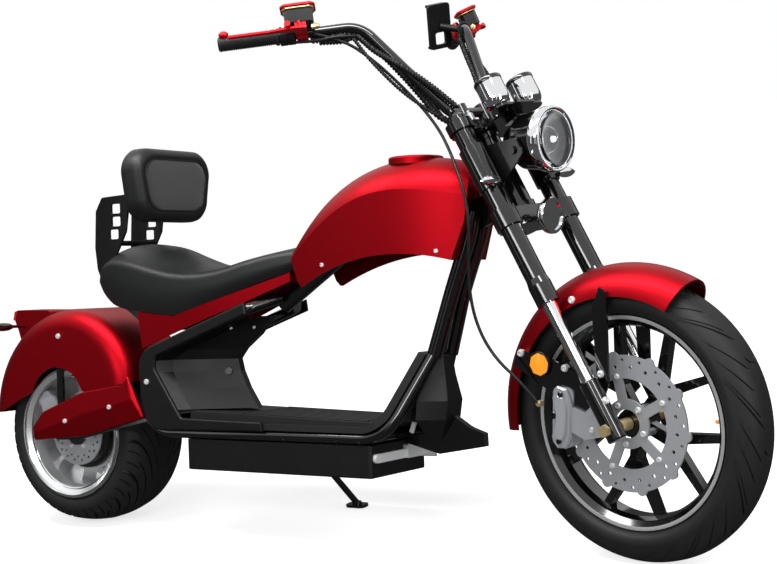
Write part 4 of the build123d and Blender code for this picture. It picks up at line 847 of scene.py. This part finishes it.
CHASSIS_SCREWS = [
    # across, down, size and what it sits on
    (322, 265, 5, ("tank_cover",)),
    (436, 251, 5, ("tank_cover",)),
    (254, 327, 4, ("belly_housing", "belly_panels")),
    (231, 328, 4, ("belly_housing", "belly_panels")),
    (65, 421, 6, ("swingarm_covers",)),
    (109, 407, 6, ("swingarm_covers",)),
    (146.8, 381.8, 7, ("belly_panels", "belly_housing")),
    (58.3, 336.2, 7, ("rear_fender",)),
    (110.8, 288.5, 9, ("backrest_bracket",)),
]
chassis_marks = []
for across, down, size, names in CHASSIS_SCREWS:
    chassis_marks += on_both(met_at(across, down, *names), size)
print("chassis screws", [tuple(round(value, 3) for value in mark[0]) for mark in chassis_marks[::2]])
screwed("chassis_screws", "latch_metal", "chassis", chassis_marks)

# %% [markdown]
# ## Bar ends
# Each end of the bar carries a ribbed grip, a red lever with a ball end and a boxed reservoir. They
# are drawn from the bar's own end: so far back along it, so far ahead of it and so far above it.

# %% Grips, levers and reservoirs
BAR_END = (-235, 385, 1104)
BAR_BEND = (-35, 175, 1012)
SIDES = (-1, 1)
RIGHT, LEFT = SIDES
UP = Vector((0, 0, 1))
OUT = Vector((0, 1, 0))


def bar_axes(side):
    """End of the bar on a side, its way inwards and the way ahead of it."""
    end = Vector((BAR_END[0], side * BAR_END[1], BAR_END[2]))
    inward = (Vector((BAR_BEND[0], side * BAR_BEND[1], BAR_BEND[2])) - end).normalized()
    return end, inward, (UP.cross(inward) * side).normalized()


def by_bar(side, back, ahead, up):
    end, inward, ahead_way = bar_axes(side)
    return end + inward * back + ahead_way * ahead + UP * up


def both_sides(name, finish, on, spot, axis, profile, steps, stands_for=(), crease=CREASE):
    """One piece of a turned shape on the left, at that spot and along that axis, and its mirrored twin."""
    form = Form()
    for side in SIDES:
        mirror = Matrix.Diagonal((1, side, 1))
        form.turned(mirror @ Vector(spot), mirror @ Vector(axis), profile, steps)
    form.made(name, finish, on, stands_for, crease)


def eight_sided(half_long, half_wide, cut):
    """Outline of a rectangle with cut corners."""
    corners = []
    for u, v in ((1, 1), (-1, 1), (-1, -1), (1, -1)):
        ends = [(u * half_long, v * (half_wide - cut)), (u * (half_long - cut), v * half_wide)]
        corners += ends if u * v > 0 else ends[::-1]
    return corners


LEVER_BALL = [(0, 4), (2, 5.6), (6, 8), (11, 8.6), (16, 7.6), (20, 4), (21, 0)]
LEVER_STOP = [(-6, 0), (-6, 6), (0, 7), (8, 7), (9, 6), (9, 0)]
HOSE_NUT = [(-4, 0), (-4, 5), (0, 6.4), (6, 6.4), (6, 4.4), (14, 4.4), (15, 0)]
SWITCH_BLOCK = [(0, 11.3), (0, 19), (1.5, 20.6), (15.6, 20.6), (16.2, 19.8), (17.8, 19.8), (18.4, 20.6),
                (32.5, 20.6), (34, 19), (34, 11.3)]
grip_profile = [(-5, 0), (-5, 12), (-3.5, 14.8), (-1, 16)]
for rib in range(26):
    start = 2 + rib * 4.5
    grip_profile += [(start, 16), (start + 0.5, 14.7), (start + 1.9, 14.7), (start + 2.4, 16)]
grip_profile += [(120, 16), (121, 18.5), (126, 18.5), (128, 16.5), (128, 11.3)]
grips = Form()
levers = Form()
lever_holes = Form()
reservoirs = Form()
caps = Form()
fittings = Form()
switches = Form()
for side in SIDES:
    end, inward, ahead_way = bar_axes(side)
    grips.turned(end, inward, grip_profile, 28)
    root = by_bar(side, 182, 50, -4)
    tip = by_bar(side, 8, 52, -4)
    run = tip - root
    reach = run.length
    blade = [(-6, -9), (24, -9), (52, -5), (reach - 12, -4.2), (reach - 12, 4.2), (80, 5), (40, 9), (12, 11),
             (-6, 9)]
    levers.plate(root - UP * 3.5, run, UP.cross(run) * side, [(u, v * side) for u, v in blade], 7, 1.6)
    levers.turned(tip - run.normalized() * 14, run, LEVER_BALL, 20)
    levers.turned(by_bar(side, 176, 46, -9), UP, [(0, 0), (0, 7), (1, 8), (15, 8), (16, 7), (16, 0)], 20)
    levers.turned(by_bar(side, 150, 60, -4), ahead_way, LEVER_STOP, 12)
    for number in range(4):
        spot = root + run * (0.16 + 0.09 * number) - UP * 3.9
        lever_holes.turned(spot, UP, [(0, 0), (0, 2.6), (7.8, 2.6), (7.8, 0)], 14)
    cup = by_bar(side, 182, 34, 21)
    rise = (UP - inward * UP.dot(inward)).normalized()
    reservoirs.plate(cup - rise * 18, inward * side, ahead_way, eight_sided(31, 19.5, 7), 34, 3)
    fittings.plate(cup + rise * 16, inward * side, ahead_way, eight_sided(34, 22, 8), 3, 0.6)
    caps.plate(cup + rise * 19, inward * side, ahead_way, eight_sided(38, 25, 9), 8, 2.4)
    fittings.turned(by_bar(side, 204, 32, 0), inward, HOSE_NUT, 6)
    for ahead, up, size in ((-17, 6, 5), (-15, -8, 4), (-18, -1, 3.4)):
        button = by_bar(side, 146, ahead, up)
        profile = [(-5, 0), (-5, size), (3.4, size), (4.4, size - 1), (4.4, 0)]
        switches.turned(button, -ahead_way, profile, 14)
    switches.turned(by_bar(side, 129, 0, 0), inward, SWITCH_BLOCK, 28)
grips.made("ribbed_grips", "grip_rubber", ON_FORK, ["grips"], math.radians(25))
levers.made("lever_blades", "anodised_red", ON_FORK, ["brake_levers"])
lever_holes.made("lever_holes", "latch_metal", ON_FORK)
reservoirs.made("reservoir_cups", "frame_black", ON_FORK)
caps.made("reservoir_lids", "anodised_red", ON_FORK, ["reservoir_caps"])
fittings.made("reservoir_fittings", "bright_steel", ON_FORK)
switches.made("switch_blocks", "cover_plastic", ON_FORK, ["switch_housings"])

# %% [markdown]
# ## Instruments, headlamp and horn
# The two instruments are chrome cups with a dark dial sunk under a rim. The headlamp is a bezel round a domed
# glass; behind the glass are a bowl, a ring with a painted glow and a small projector whose bulb carries the same
# painted glow. The horn's face is a row of slats.

# %% Instruments
POD_FOOT = (108, 54, 707)
POD_CUP = [(0, 0), (0, 15), (1.5, 20), (6, 25.4), (13, 28.6), (22, 29.8), (58, 30), (58, 26.6), (54, 26.4),
           (54, 0)]
POD_RIM = [(58, 26.6), (58, 30.4), (59.5, 31), (66, 31), (68, 29.6), (68, 27.6), (62, 26.4), (58, 26.6)]
POD_DIAL = [(54, 0), (54, 26.5), (61, 26.5), (61.6, 22), (62.4, 12), (62.6, 0)]
both_sides("pod_cups", "chrome", ON_FORK, POD_FOOT, UP, POD_CUP, 48, ["instrument_pods"])
both_sides("pod_rims", "fork_black", ON_FORK, POD_FOOT, UP, POD_RIM, 48)
both_sides("pod_dials", "dark_glass", ON_FORK, POD_FOOT, UP, POD_DIAL, 40)

# %% Headlamp and horn
LAMP = Vector((138.6, 0, 605.1))
LEVEL = Vector((math.cos(RAKE), 0, -math.sin(RAKE)))
BEZEL = [(-3, 64), (-1, 68.6), (2, 69.6), (17, 69.6), (21, 68.4), (23, 65.6), (22, 63), (18, 61.6),
         (-3, 61.6), (-3, 64)]
Form().turned(LAMP, LEVEL, BEZEL, 72).made("lamp_bezel", "chrome", ON_FORK, ["headlamp_bezel"])
dome = [(12, 0), (12, 61.4), (19, 61.4), (24, 57), (28, 48), (31, 34), (32.6, 18), (33, 0)]
Form().turned(LAMP, LEVEL, dome, 64).made("lamp_dome", "lamp_glass", ON_FORK, ["headlamp_lens"])
BOWL = [(-24, 0), (-24, 22), (-16, 40), (-6, 53), (8, 61.4), (10, 61.4), (-5, 55), (-14, 42), (-20, 24),
        (-20, 0)]
Form().turned(LAMP, LEVEL, BOWL, 64).made("lamp_bowl", "lamp_mirror", ON_FORK)
up_way = OUT.cross(LEVEL)


def circle_route(centre, radius, steps=48):
    """A circle about the lamp's own direction."""
    route = []
    for step in range(steps):
        turn = 2 * math.pi * step / steps
        route.append(centre + (OUT * math.cos(turn) + up_way * math.sin(turn)) * radius)
    return route


# The ring's white_lens emission is a painted glow.
halo = Form().bent(circle_route(LAMP + LEVEL * 10, 57), 1.8, 8, closed=True)
halo.made("lamp_halo", "white_lens", ON_FORK)
Form().turned(LAMP, LEVEL, [(-21, 0), (-21, 24), (-6, 24), (-2, 22), (5, 13), (8, 0)], 40).made(
    "lamp_projector", "lamp_mirror", ON_FORK)
# The bulb's white_lens emission is a painted glow as well.
Form().turned(LAMP, LEVEL, [(6, 0), (6, 7), (10, 6), (12, 0)], 24).made("lamp_bulb", "white_lens", ON_FORK)
Form().bent(circle_route(LAMP + LEVEL * -2, 25), 2.0, 8, closed=True).made("lamp_shroud", "chrome", ON_FORK)

HORN = Vector((66.0, 0, 463.6))
HORN_SHELL = [(-56, 0), (-56, 8), (-22, 8), (-22, 26), (-19, 34), (-14, 37.6), (-9, 39), (-2, 39), (0, 37.6),
              (0, 31.6), (-4, 31.2), (-4, 0)]
Form().turned(HORN, LEVEL, HORN_SHELL, 56).made("horn_shell", "chrome", ON_FORK, ["horn"])
SLAT_STEP = 8.4
SLAT_HALF = 2.3
SLAT_REACH = 31.2
slats = Form()
slat_turn = math.radians(35)
slat_way = OUT * math.cos(slat_turn) - up_way * math.sin(slat_turn)
slat_up = slat_way.cross(LEVEL)
for number in range(7):
    height = (number - 3) * SLAT_STEP
    half = math.sqrt(SLAT_REACH ** 2 - height ** 2)
    centre = HORN - LEVEL * 4.2 + slat_up * height
    outline = [(-half, -SLAT_HALF), (half, -SLAT_HALF), (half, SLAT_HALF), (-half, SLAT_HALF)]
    slats.plate(centre, slat_way, slat_up, outline, 3.8, 0.7)
slats.made("horn_slats", "fork_black", ON_FORK)

# %% [markdown]
# ## Looms
# The wires of the bar run in spiral-wrapped looms round its bends and down to the clamps. Their marks
# are drawn from the bar itself: a share of the way down its lower run, ahead of it and outside it. A
# spiral wrap is a tube with a ridge that winds round it.

# %% Looms and their spiral wrap
RUN_FOOT = (0, 72, 756)


def by_run(side, share, ahead, out):
    """A point beside the lower run of the bar."""
    top = Vector((BAR_BEND[0], side * BAR_BEND[1], BAR_BEND[2]))
    foot = Vector((RUN_FOOT[0], side * RUN_FOOT[1], RUN_FOOT[2]))
    return top + (foot - top) * share + Vector((ahead, side * out, 0))


def wound(form, route, radius, lead, ridge, sides=10):
    """A loom along a route, wrapped in a ridge of its own that advances by lead each turn."""
    line = curve_between(route, 8)
    form.bent(line, radius, sides)
    spiral = []
    turn = 0.0
    across = (line[1] - line[0]).normalized().orthogonal().normalized()
    for start, end in zip(line, line[1:]):
        way = end - start
        steps = max(1, round(way.length / (lead / 10)))
        across = (across - way.normalized() * across.dot(way.normalized())).normalized()
        beside = way.normalized().cross(across)
        for step in range(steps):
            turn += 2 * math.pi * way.length / steps / lead
            outward = across * math.cos(turn) + beside * math.sin(turn)
            spiral.append(start + way * (step / steps) + outward * radius)
    form.bent(spiral, ridge, 5)


def in_world(marks):
    """Marks of the fork's frame in millimetres of the world's."""
    return [(FORK @ (Vector(mark) * MM)) / MM for mark in marks]


STRANDS = [
    # side, radius, marks of share, ahead and out
    (RIGHT, 5.5, [(0.04, -18, 12), (0.25, -8, 19), (0.5, 12, 17), (0.72, 19, 5), (0.94, 17, -12)]),
    (RIGHT, 3.4, [(0.04, -24, 20), (0.3, -27, 30), (0.6, -30, 27), (0.84, -27, 12), (1.0, -18, -2)]),
    (LEFT, 4.0, [(0.04, -16, 12), (0.3, -14, 16), (0.6, 4, 18), (0.9, 16, 4)]),
]
looms = Form()
bar_loom = [by_bar(RIGHT, 190, -4, -17), by_bar(RIGHT, 225, -2, -18), by_bar(RIGHT, 262, 0, -19),
            (-56, -168, 996), (-44, -142, 950), (-34, -122, 890), (-30, -100, 830), (-26, -82, 776),
            (-8, -66, 742)]
wound(looms, in_world(bar_loom), 6.2, 8, 2.4)
bar_wire = [by_bar(RIGHT, 150, 4, -20), by_bar(RIGHT, 200, 6, -24), by_bar(RIGHT, 250, 8, -22),
            (-40, -160, 984), (-30, -138, 930), (-22, -112, 866), (-18, -92, 806), (-16, -76, 756),
            (4, -64, 730)]
looms.bent(curve_between(in_world(bar_wire), 6), 3.4, 8)
other_loom = [by_bar(LEFT, 190, -4, -17), by_bar(LEFT, 235, -2, -19), (-56, 168, 996), (-40, 136, 940),
              (-28, 112, 880), (-22, 92, 820), (-12, 76, 764), (4, 62, 730)]
wound(looms, in_world(other_loom), 5.4, 8, 2.0)
for side, radius, marks in STRANDS:
    route = [by_bar(side, 205, -8, -22), by_bar(side, 262, -8, -26)] + [by_run(side, *mark) for mark in marks]
    wound(looms, in_world(route), radius, 7, radius * 0.42)
looms.made("looms", "hose_rubber", ("fork", WORLD))

# %% [markdown]
# ## Backrest pad
# The pad is a padded shell of leatherette round a panel of mesh cloth. Rings of one outline, each a
# little further in and a little further forward, make the soft edge; a cord of piping hides the seam.

# %% Backrest pad
PAD_SPOT = Vector((268, 0, 852))
PAD_CORNERS = [(1, 1, 140), (-1, 1, 140), (-1, -1, 130), (1, -1, 130)]
PAD_TALL = 90
PAD_RINGS = [(40, -30), (14, -32), (5, -29), (0.5, -20), (0, -6), (0, 8), (2, 20), (7, 27), (14, 31),
             (21, 32.5), (27, 31)]
MESH_RINGS = [(28, 28), (29, 31.6), (36, 33.4), (50, 34.6), (68, 35)]


def pad_outline(inset, x, steps=9):
    """Outline of the pad as points (x, y, z): a rounded shape that is wider at the top."""
    points = []
    corner = max(10, 58 - inset * 0.6)
    for number, (u, v, half) in enumerate(PAD_CORNERS):
        for step in range(steps + 1):
            turn = math.pi / 2 * (number + step / steps)
            across = u * (half - inset - corner) + corner * math.cos(turn)
            up = v * (PAD_TALL - inset - corner) + corner * math.sin(turn)
            points.append(PAD_SPOT + Vector((x, across, up)))
    return points


def ringed(name, rings, finish, stands_for=()):
    """A closed form over rings of the pad's outline."""
    points = []
    for inset, x in rings:
        points += pad_outline(inset, x)
    columns = len(points) // len(rings)
    faces = grid_faces(len(rings), columns, close_columns=True)
    faces += [tuple(range(columns)), tuple(range(len(points) - columns, len(points)))]
    return piece(name, points, faces, finish, ON_CHASSIS, stands_for, math.radians(60))


pad = ringed("pad_shell", PAD_RINGS, "seat_leather", ["backrest_pad"])
ringed("pad_mesh", MESH_RINGS, "pad_fabric")
Form().bent(pad_outline(27, 31.6), 1.7, 6, closed=True).made("pad_piping", "seat_leather", ON_CHASSIS)

# %% [markdown]
# ## Covers of the swingarm
# Each cover is pressed into two flats that meet in a ridge along the arm.

# %% Swingarm covers
COVER_TOP = [(-98, 250), (-60, 290), (80, 342), (213, 362), (236, 384)]
COVER_LOW = [(-94, 216), (88, 232), (284, 282)]
COVER_RIDGE = [(-84, 236), (86, 288), (250, 330)]
covers = Form()
for side in SIDES:
    points = []
    for out, line in ((136, COVER_TOP), (136, COVER_LOW), (142, COVER_RIDGE), (127.6, COVER_TOP),
                      (127.6, COVER_LOW)):
        points += [(x, side * out, z) for x, z in line]
    top, low, crest, back_top, back_low = 0, 5, 8, 11, 16
    covers.add(points, [
        (top, top + 1, crest), (top + 1, top + 2, crest + 1, crest), (top + 2, top + 3, crest + 2, crest + 1),
        (top + 3, top + 4, crest + 2), (low, crest, crest + 1, low + 1),
        (low + 1, crest + 1, crest + 2, low + 2),
        (top, crest, low), (top + 4, low + 2, crest + 2),
        (back_top, back_top + 1, top + 1, top), (back_top + 1, back_top + 2, top + 2, top + 1),
        (back_top + 2, back_top + 3, top + 3, top + 2), (back_top + 3, back_top + 4, top + 4, top + 3),
        (back_low, back_low + 1, low + 1, low), (back_low + 1, back_low + 2, low + 2, low + 1),
        (back_top, top, low, back_low), (back_top + 4, top + 4, low + 2, back_low + 2),
        (back_top, back_low, back_low + 1, back_low + 2, back_top + 4, back_top + 3, back_top + 2,
         back_top + 1),
    ])
arm_covers = covers.made("arm_covers", "candy_red", ON_CHASSIS, ["swingarm_covers"], math.radians(4))
edges = arm_covers.modifiers.new("edges", "BEVEL")
edges.width = 3 * MM
edges.segments = 3
edges.limit_method = "ANGLE"
edges.angle_limit = math.radians(8)
bevelled = bpy.data.meshes.new_from_object(arm_covers.evaluated_get(bpy.context.evaluated_depsgraph_get()))
arm_covers.modifiers.clear()
arm_covers.data = bevelled
bevelled.shade_smooth()
print("arm covers", len(bevelled.polygons), "faces")

# %% [markdown]
# ## Rear indicators
# The indicators are black bullets on thin stalks. Their amber lenses face backwards.

# %% Rear indicators
BULLET = [(0, 0), (0, 4), (44, 4), (50, 6.4), (62, 10), (80, 11), (96, 10), (108, 6.6), (115, 3), (117, 0)]
BULLET_LENS = [(0, 0), (4, 6), (12, 8.6), (28, 9.4), (44, 8), (52, 5), (56, 0)]
both_sides("indicator_shells", "frame_black", ON_CHASSIS, (-205, 46, 508), OUT, BULLET, 24, ["rear_indicators"])
both_sides("indicator_lenses", "amber_plastic", ON_CHASSIS, (-208.6, 102, 508), OUT, BULLET_LENS, 20)

# %% [markdown]
# ## Small things on the frame
# A hexagonal charging port, the plug of the harness and clips under the lower tube: each is placed
# by the photograph.

# %% Port, plug and clips
spot, way = met_at(229, 371, "belly_housing", "belly_panels")
port = Form()
port.turned(spot / MM, way, [(-2, 0), (-2, 11), (3, 11), (4, 10), (4, 7.5), (1.5, 7), (1.5, 0)], 6)
port.made("charge_port", "frame_black", ("chassis", WORLD))

plug_spot = seen_at(413, 426, -30)
plug_foot = plug_spot + Vector((-9, 5, -13))
plug = Form().plate(plug_foot, (1, 0, -0.4), (0.4, 0, 1), [(0, 0), (9, 0), (9, 26), (0, 26)], 9, 1.2)
plug.made("harness_plug", "latch_metal", ON_CHASSIS)
wires = Form()
for shift in (-3.5, 0, 3.5):
    start = plug_spot + Vector((shift, 0, 10))
    route = [start, start + Vector((1, 3, 14)), start + Vector((8, 8, 30)), (1046, 0, 300 + shift)]
    wires.bent(curve_between(route, 5), 1.5, 6)
wires.made("harness_wires", "hose_rubber", ON_CHASSIS)

CLIP_RADIUS = 15
clips = Form()
for across, down in ((287, 443), (339, 443), (362, 446)):
    spot = seen_at(across, down - 3, -106)
    ring_route = []
    for step in range(9):
        turn = math.radians(20 + 200 * step / 8)
        ring_route.append((spot.x, -105 - CLIP_RADIUS * math.cos(turn), 247 - CLIP_RADIUS * math.sin(turn)))
    clips.bent(ring_route, 2.2, 8)
    clips.bent([(spot.x, -106, 233), (spot.x + 3, -104, 222)], 2.2, 8)
clips.made("harness_clips", "hose_rubber", ON_CHASSIS)

# %% [markdown]
# ## Wheels
# Both rims end in a bright lip beside the tyre. The front disc is bolted to its carrier, and the
# front wheel carries a valve with an orange cap.

# %% Rim lips, disc bolts and valve
FRONT_LIP = [(40.4, 215), (40.4, 219), (41.6, 222.6), (42.6, 222.6), (42.8, 219), (42, 215), (40.4, 215)]
REAR_LIPS = [
    [(100, 158), (100, 164), (101.4, 167), (103, 167), (103.4, 164), (102.6, 160), (101, 158), (100, 158)],
    [(88, 143), (90, 149), (92.6, 149.4), (92.6, 146), (90, 142), (88, 143)],
]
both_sides("front_lips", "polished_aluminium", ON_FRONT_WHEEL, (0, 0, 0), OUT, FRONT_LIP, 96)
rear_lips = Form()
for side in SIDES:
    for lip in REAR_LIPS:
        rear_lips.turned((0, 0, 0), OUT * side, lip, 96)
rear_lips.made("rear_lips", "chrome", ON_REAR_WHEEL)



def bolt_circle(place, count, radius, shift, y, size):
    """Marks on a circle round an axle that face to the right. shift turns them by degrees."""
    facing = place.to_3x3() @ -OUT
    marks = []
    for step in range(count):
        turn = math.radians(shift + 360 * step / count)
        marks.append((local(place, radius * math.cos(turn), y, radius * math.sin(turn)), facing, size))
    return marks


disc_marks = bolt_circle(FRONT_WHEEL, 5, 99, 0, -46.3, 6) + bolt_circle(FRONT_WHEEL, 5, 42, 18, -46.3, 6.5)
screwed("disc_bolts", "latch_metal", "front_wheel", disc_marks)
screwed("rear_disc_bolts", "latch_metal", "rear_wheel", bolt_circle(REAR_WHEEL, 6, 42, 0, -75, 5))

valve_turn = math.radians(-26)
valve_foot = Vector((203 * math.cos(valve_turn), -4, 203 * math.sin(valve_turn)))
hubward = -Vector((math.cos(valve_turn), 0, math.sin(valve_turn)))
VALVE = [(-4, 0), (-4, 5), (3, 5), (4, 3), (14, 3), (14, 0)]
VALVE_CAP = [(12, 0), (12, 4), (21, 4), (22, 3.2), (22, 0)]
Form().turned(valve_foot, hubward, VALVE, 14).made("valve", "frame_black", ON_FRONT_WHEEL)
# The cap's amber_plastic carries a painted glow.
Form().turned(valve_foot, hubward, VALVE_CAP, 14).made("valve_cap", "amber_plastic", ON_FRONT_WHEEL)

# %% [markdown]
# ## Front brake and fork fittings
# The caliper has a raised face between two black bolts; more bolts hold the fender and the stays.
# The reflector beside it is cut in eight sectors.

# %% Caliper, reflectors and fork bolts
CALIPER_SPOT = Vector((-88, 0, 75))
CALIPER_TURN = math.radians(56)
along_block = Vector((math.cos(CALIPER_TURN), 0, math.sin(CALIPER_TURN)))
across_block = Vector((-math.sin(CALIPER_TURN), 0, math.cos(CALIPER_TURN)))
face_plate = [(-64, -14), (-40, -26), (30, -27), (62, -12), (66, 12), (40, 24), (10, 17), (-12, 17),
              (-44, 24), (-66, 10)]
raised_plate = [(u * 0.72, v * 0.62) for u, v in face_plate]
caliper_face = Form()
caliper_face.plate(CALIPER_SPOT - OUT * 80, along_block, across_block, face_plate, 11, 4)
caliper_face.plate(CALIPER_SPOT - OUT * 87, along_block, across_block, raised_plate, 9, 3)
caliper_face.made("caliper_face", "caliper_metal", ON_FORK)
bolts = Form()
for reach, lift, size in ((-50, 2, 6), (50, 0, 6), (4, 16, 8)):
    spot = CALIPER_SPOT + along_block * reach + across_block * lift - OUT * 88
    profile = [(0, 0), (0, size), (6.5, size), (8, size - 1.4), (8, 3), (5, 2.6), (5, 0)]
    bolts.turned(spot, -OUT, profile, 20)
bolts.made("caliper_bolts", "frame_black", ON_FORK)
BANJO = [(-6, 0), (-6, 6), (4, 7), (9, 7), (10, 5), (10, 0)]
Form().turned((-122, -85, 125), -OUT, BANJO, 6).made("banjo", "bright_steel", ON_FORK)

knobs = Form()
for ahead, side_spot, size in ((-8, -78, 11), (34, -62, 8), (-8, 78, 11)):
    profile = [(0, 0), (0, size), (16, size), (18, size - 2), (18, size - 4), (24, size - 4), (25, size - 5),
               (25, 0)]
    knobs.turned((ahead, side_spot, 722), UP, profile, 18)
knobs.made("clamp_knobs", "caliper_metal", ON_FORK)

REFLECTOR_CUP = [(0, 0), (0, 27), (6, 27), (7, 26), (7, 24.6), (2, 24.6), (2, 0)]
REFLECTOR_PRISM = [(2, 0), (2, 24.4), (6, 24.4), (9, 6), (9, 0)]
REFLECTOR_SPOT = (-81, 78.4, 196)
both_sides("reflector_cups", "cover_plastic", ON_FORK, REFLECTOR_SPOT, OUT, REFLECTOR_CUP, 40, ["reflectors"])
# The prisms' amber_plastic carries a painted glow.
both_sides("reflector_prisms", "amber_plastic", ON_FORK, REFLECTOR_SPOT, OUT, REFLECTOR_PRISM, 8, (),
           math.radians(12))

fork_marks = []
FORK_SCREWS = [
    # across, down, size and what it sits on
    (572, 300, 8, ("front_fender", "fender_brackets")),
    (521, 353, 8, ("front_fender", "fender_brackets")),
    (565, 368, 8, ("fender_brackets", "front_caliper", "fork_lugs")),
    (601, 374, 8, ("fender_brackets", "front_caliper", "fork_lugs")),
    (614, 395, 8, ("fender_brackets", "front_caliper", "fork_lugs")),
    (575, 385, 6, ("front_caliper", "fork_lugs")),
    (592, 430, 6, ("front_caliper", "fork_lugs")),
]
for across, down, size, names in FORK_SCREWS:
    fork_marks.append((*met_at(across, down, *names), size))
clamp_way = FORK.to_3x3() @ Vector((-1, 0, 0))
for along in (478, 500, 707, 719):
    for side in SIDES:
        fork_marks.append((local(FORK, -5, side * 99, along), clamp_way, 4))
screwed("fork_screws", "latch_metal", "fork", fork_marks)
LEG_CAP = [(-2, 0), (-2, 15), (3, 15), (4, 14), (4, 7), (1, 7), (1, 0)]
for side, name in ((RIGHT, "leg_cap_right"), (LEFT, "leg_cap_left")):
    Form().turned((24, side * 99, 741), UP, LEG_CAP, 6).made(name, "fork_black", ON_FORK)
bpy.data.objects.remove(screw_model)

# %% [markdown]
# ## Studio
# A white sweep and three soft boxes light the scooter. Black paint and chrome look like what they
# mirror, so a dark room stands round them that only reflections see, with three bright strips in it.
# The white floor and sky are for the camera.

# %% Floor, room and lamps
FLOOR_HALF = 30
ROOM_HALF = 4.5


def shown_only(tree, strength_seen, strength_lit):
    """A strength that is one number for the camera, mirrors and glass, and another for light."""
    path = tree.nodes.new("ShaderNodeLightPath")
    seen = None
    for output in ("Is Camera Ray", "Is Glossy Ray", "Is Transmission Ray"):
        if seen is None:
            seen = path.outputs[output]
            continue
        either = tree.nodes.new("ShaderNodeMath")
        either.operation = "MAXIMUM"
        tree.links.new(seen, either.inputs[0])
        tree.links.new(path.outputs[output], either.inputs[1])
        seen = either.outputs[0]
    spread = tree.nodes.new("ShaderNodeMapRange")
    tree.links.new(seen, spread.inputs[0])
    spread.inputs[3].default_value = strength_lit
    spread.inputs[4].default_value = strength_seen
    return spread.outputs[0]


def stage_sheet(name, corners, level, glow):
    """A flat piece of the studio with a plain grey level and a glow."""
    mesh = bpy.data.meshes.new(name)
    mesh.from_pydata(corners, [], [(0, 1, 2, 3)])
    sheet = placed(name, mesh)
    paper = bpy.data.materials.new(name)
    paper.use_nodes = True
    base = paper.node_tree.nodes["Principled BSDF"]
    base.inputs["Base Color"].default_value = grey(level)
    base.inputs["Roughness"].default_value = 0.9
    base.inputs["Emission Color"].default_value = rgb(1, 1, 1)
    base.inputs["Emission Strength"].default_value = glow
    mesh.materials.append(paper)
    return sheet, base


def mirrored_only(sheet):
    """Hides a sheet from everything but reflections."""
    for kind in ("camera", "diffuse", "transmission", "shadow"):
        setattr(sheet, "visible_" + kind, False)


world = bpy.data.worlds.new("studio")
world.use_nodes = True
bpy.context.scene.world = world
sky = world.node_tree.nodes["Background"]
sky.inputs["Color"].default_value = rgb(1, 1, 1)
world.node_tree.links.new(shown_only(world.node_tree, 1.0, 0.3), sky.inputs["Strength"])

walls = [(-1, -1), (1, -1), (1, 1), (-1, 1)]
floor, floor_base = stage_sheet("floor", [(x * FLOOR_HALF, y * FLOOR_HALF, 0) for x, y in walls], 0.8, 0)
floor_tree = floor.data.materials[0].node_tree
floor_tree.links.new(shown_only(floor_tree, 0.72, 0.0), floor_base.inputs["Emission Strength"])
for number, (start, end) in enumerate(zip(walls, walls[1:] + walls[:1])):
    low = [(start[0] * ROOM_HALF, start[1] * ROOM_HALF), (end[0] * ROOM_HALF, end[1] * ROOM_HALF)]
    corners = [(*low[0], 0), (*low[1], 0), (*low[1], 2.4), (*low[0], 2.4)]
    mirrored_only(stage_sheet(f"wall_{number}", corners, 0, 0.07)[0])
carpet = [(x * ROOM_HALF, y * ROOM_HALF, 0.002) for x, y in walls]
mirrored_only(stage_sheet("carpet", carpet, 0, 0.05)[0])
STRIP_Y = 0.2 - ROOM_HALF
for name, x, half in (("strip_left", -3.9, 0.3), ("strip_middle", 0.4, 0.16), ("strip_right", 3.2, 0.25)):
    corners = [(x - half, STRIP_Y, 0.3), (x + half, STRIP_Y, 0.3), (x + half, STRIP_Y, 2.3),
               (x - half, STRIP_Y, 2.3)]
    mirrored_only(stage_sheet(name, corners, 0, 1.6)[0])


def soft_box(name, spot, target, size, power):
    """A rectangular lamp at a spot of the room, facing a target."""
    data = bpy.data.lights.new(name, "AREA")
    data.shape = "RECTANGLE"
    data.size, data.size_y = size
    data.energy = power
    lamp = placed(name, data)
    way = (Vector(target) - Vector(spot)).to_track_quat("-Z", "Y").to_matrix().to_4x4()
    lamp.matrix_world = Matrix.Translation(spot) @ way


soft_box("top_box", (0.0, -0.9, 2.6), (0.0, 0, 0.5), (3.4, 0.5), 95)
soft_box("front_box", (2.9, -1.2, 1.3), (0.3, 0, 0.6), (0.35, 2.0), 30)
soft_box("side_box", (0.6, -3.6, 2.0), (0.2, 0, 0.5), (2.4, 0.5), 40)
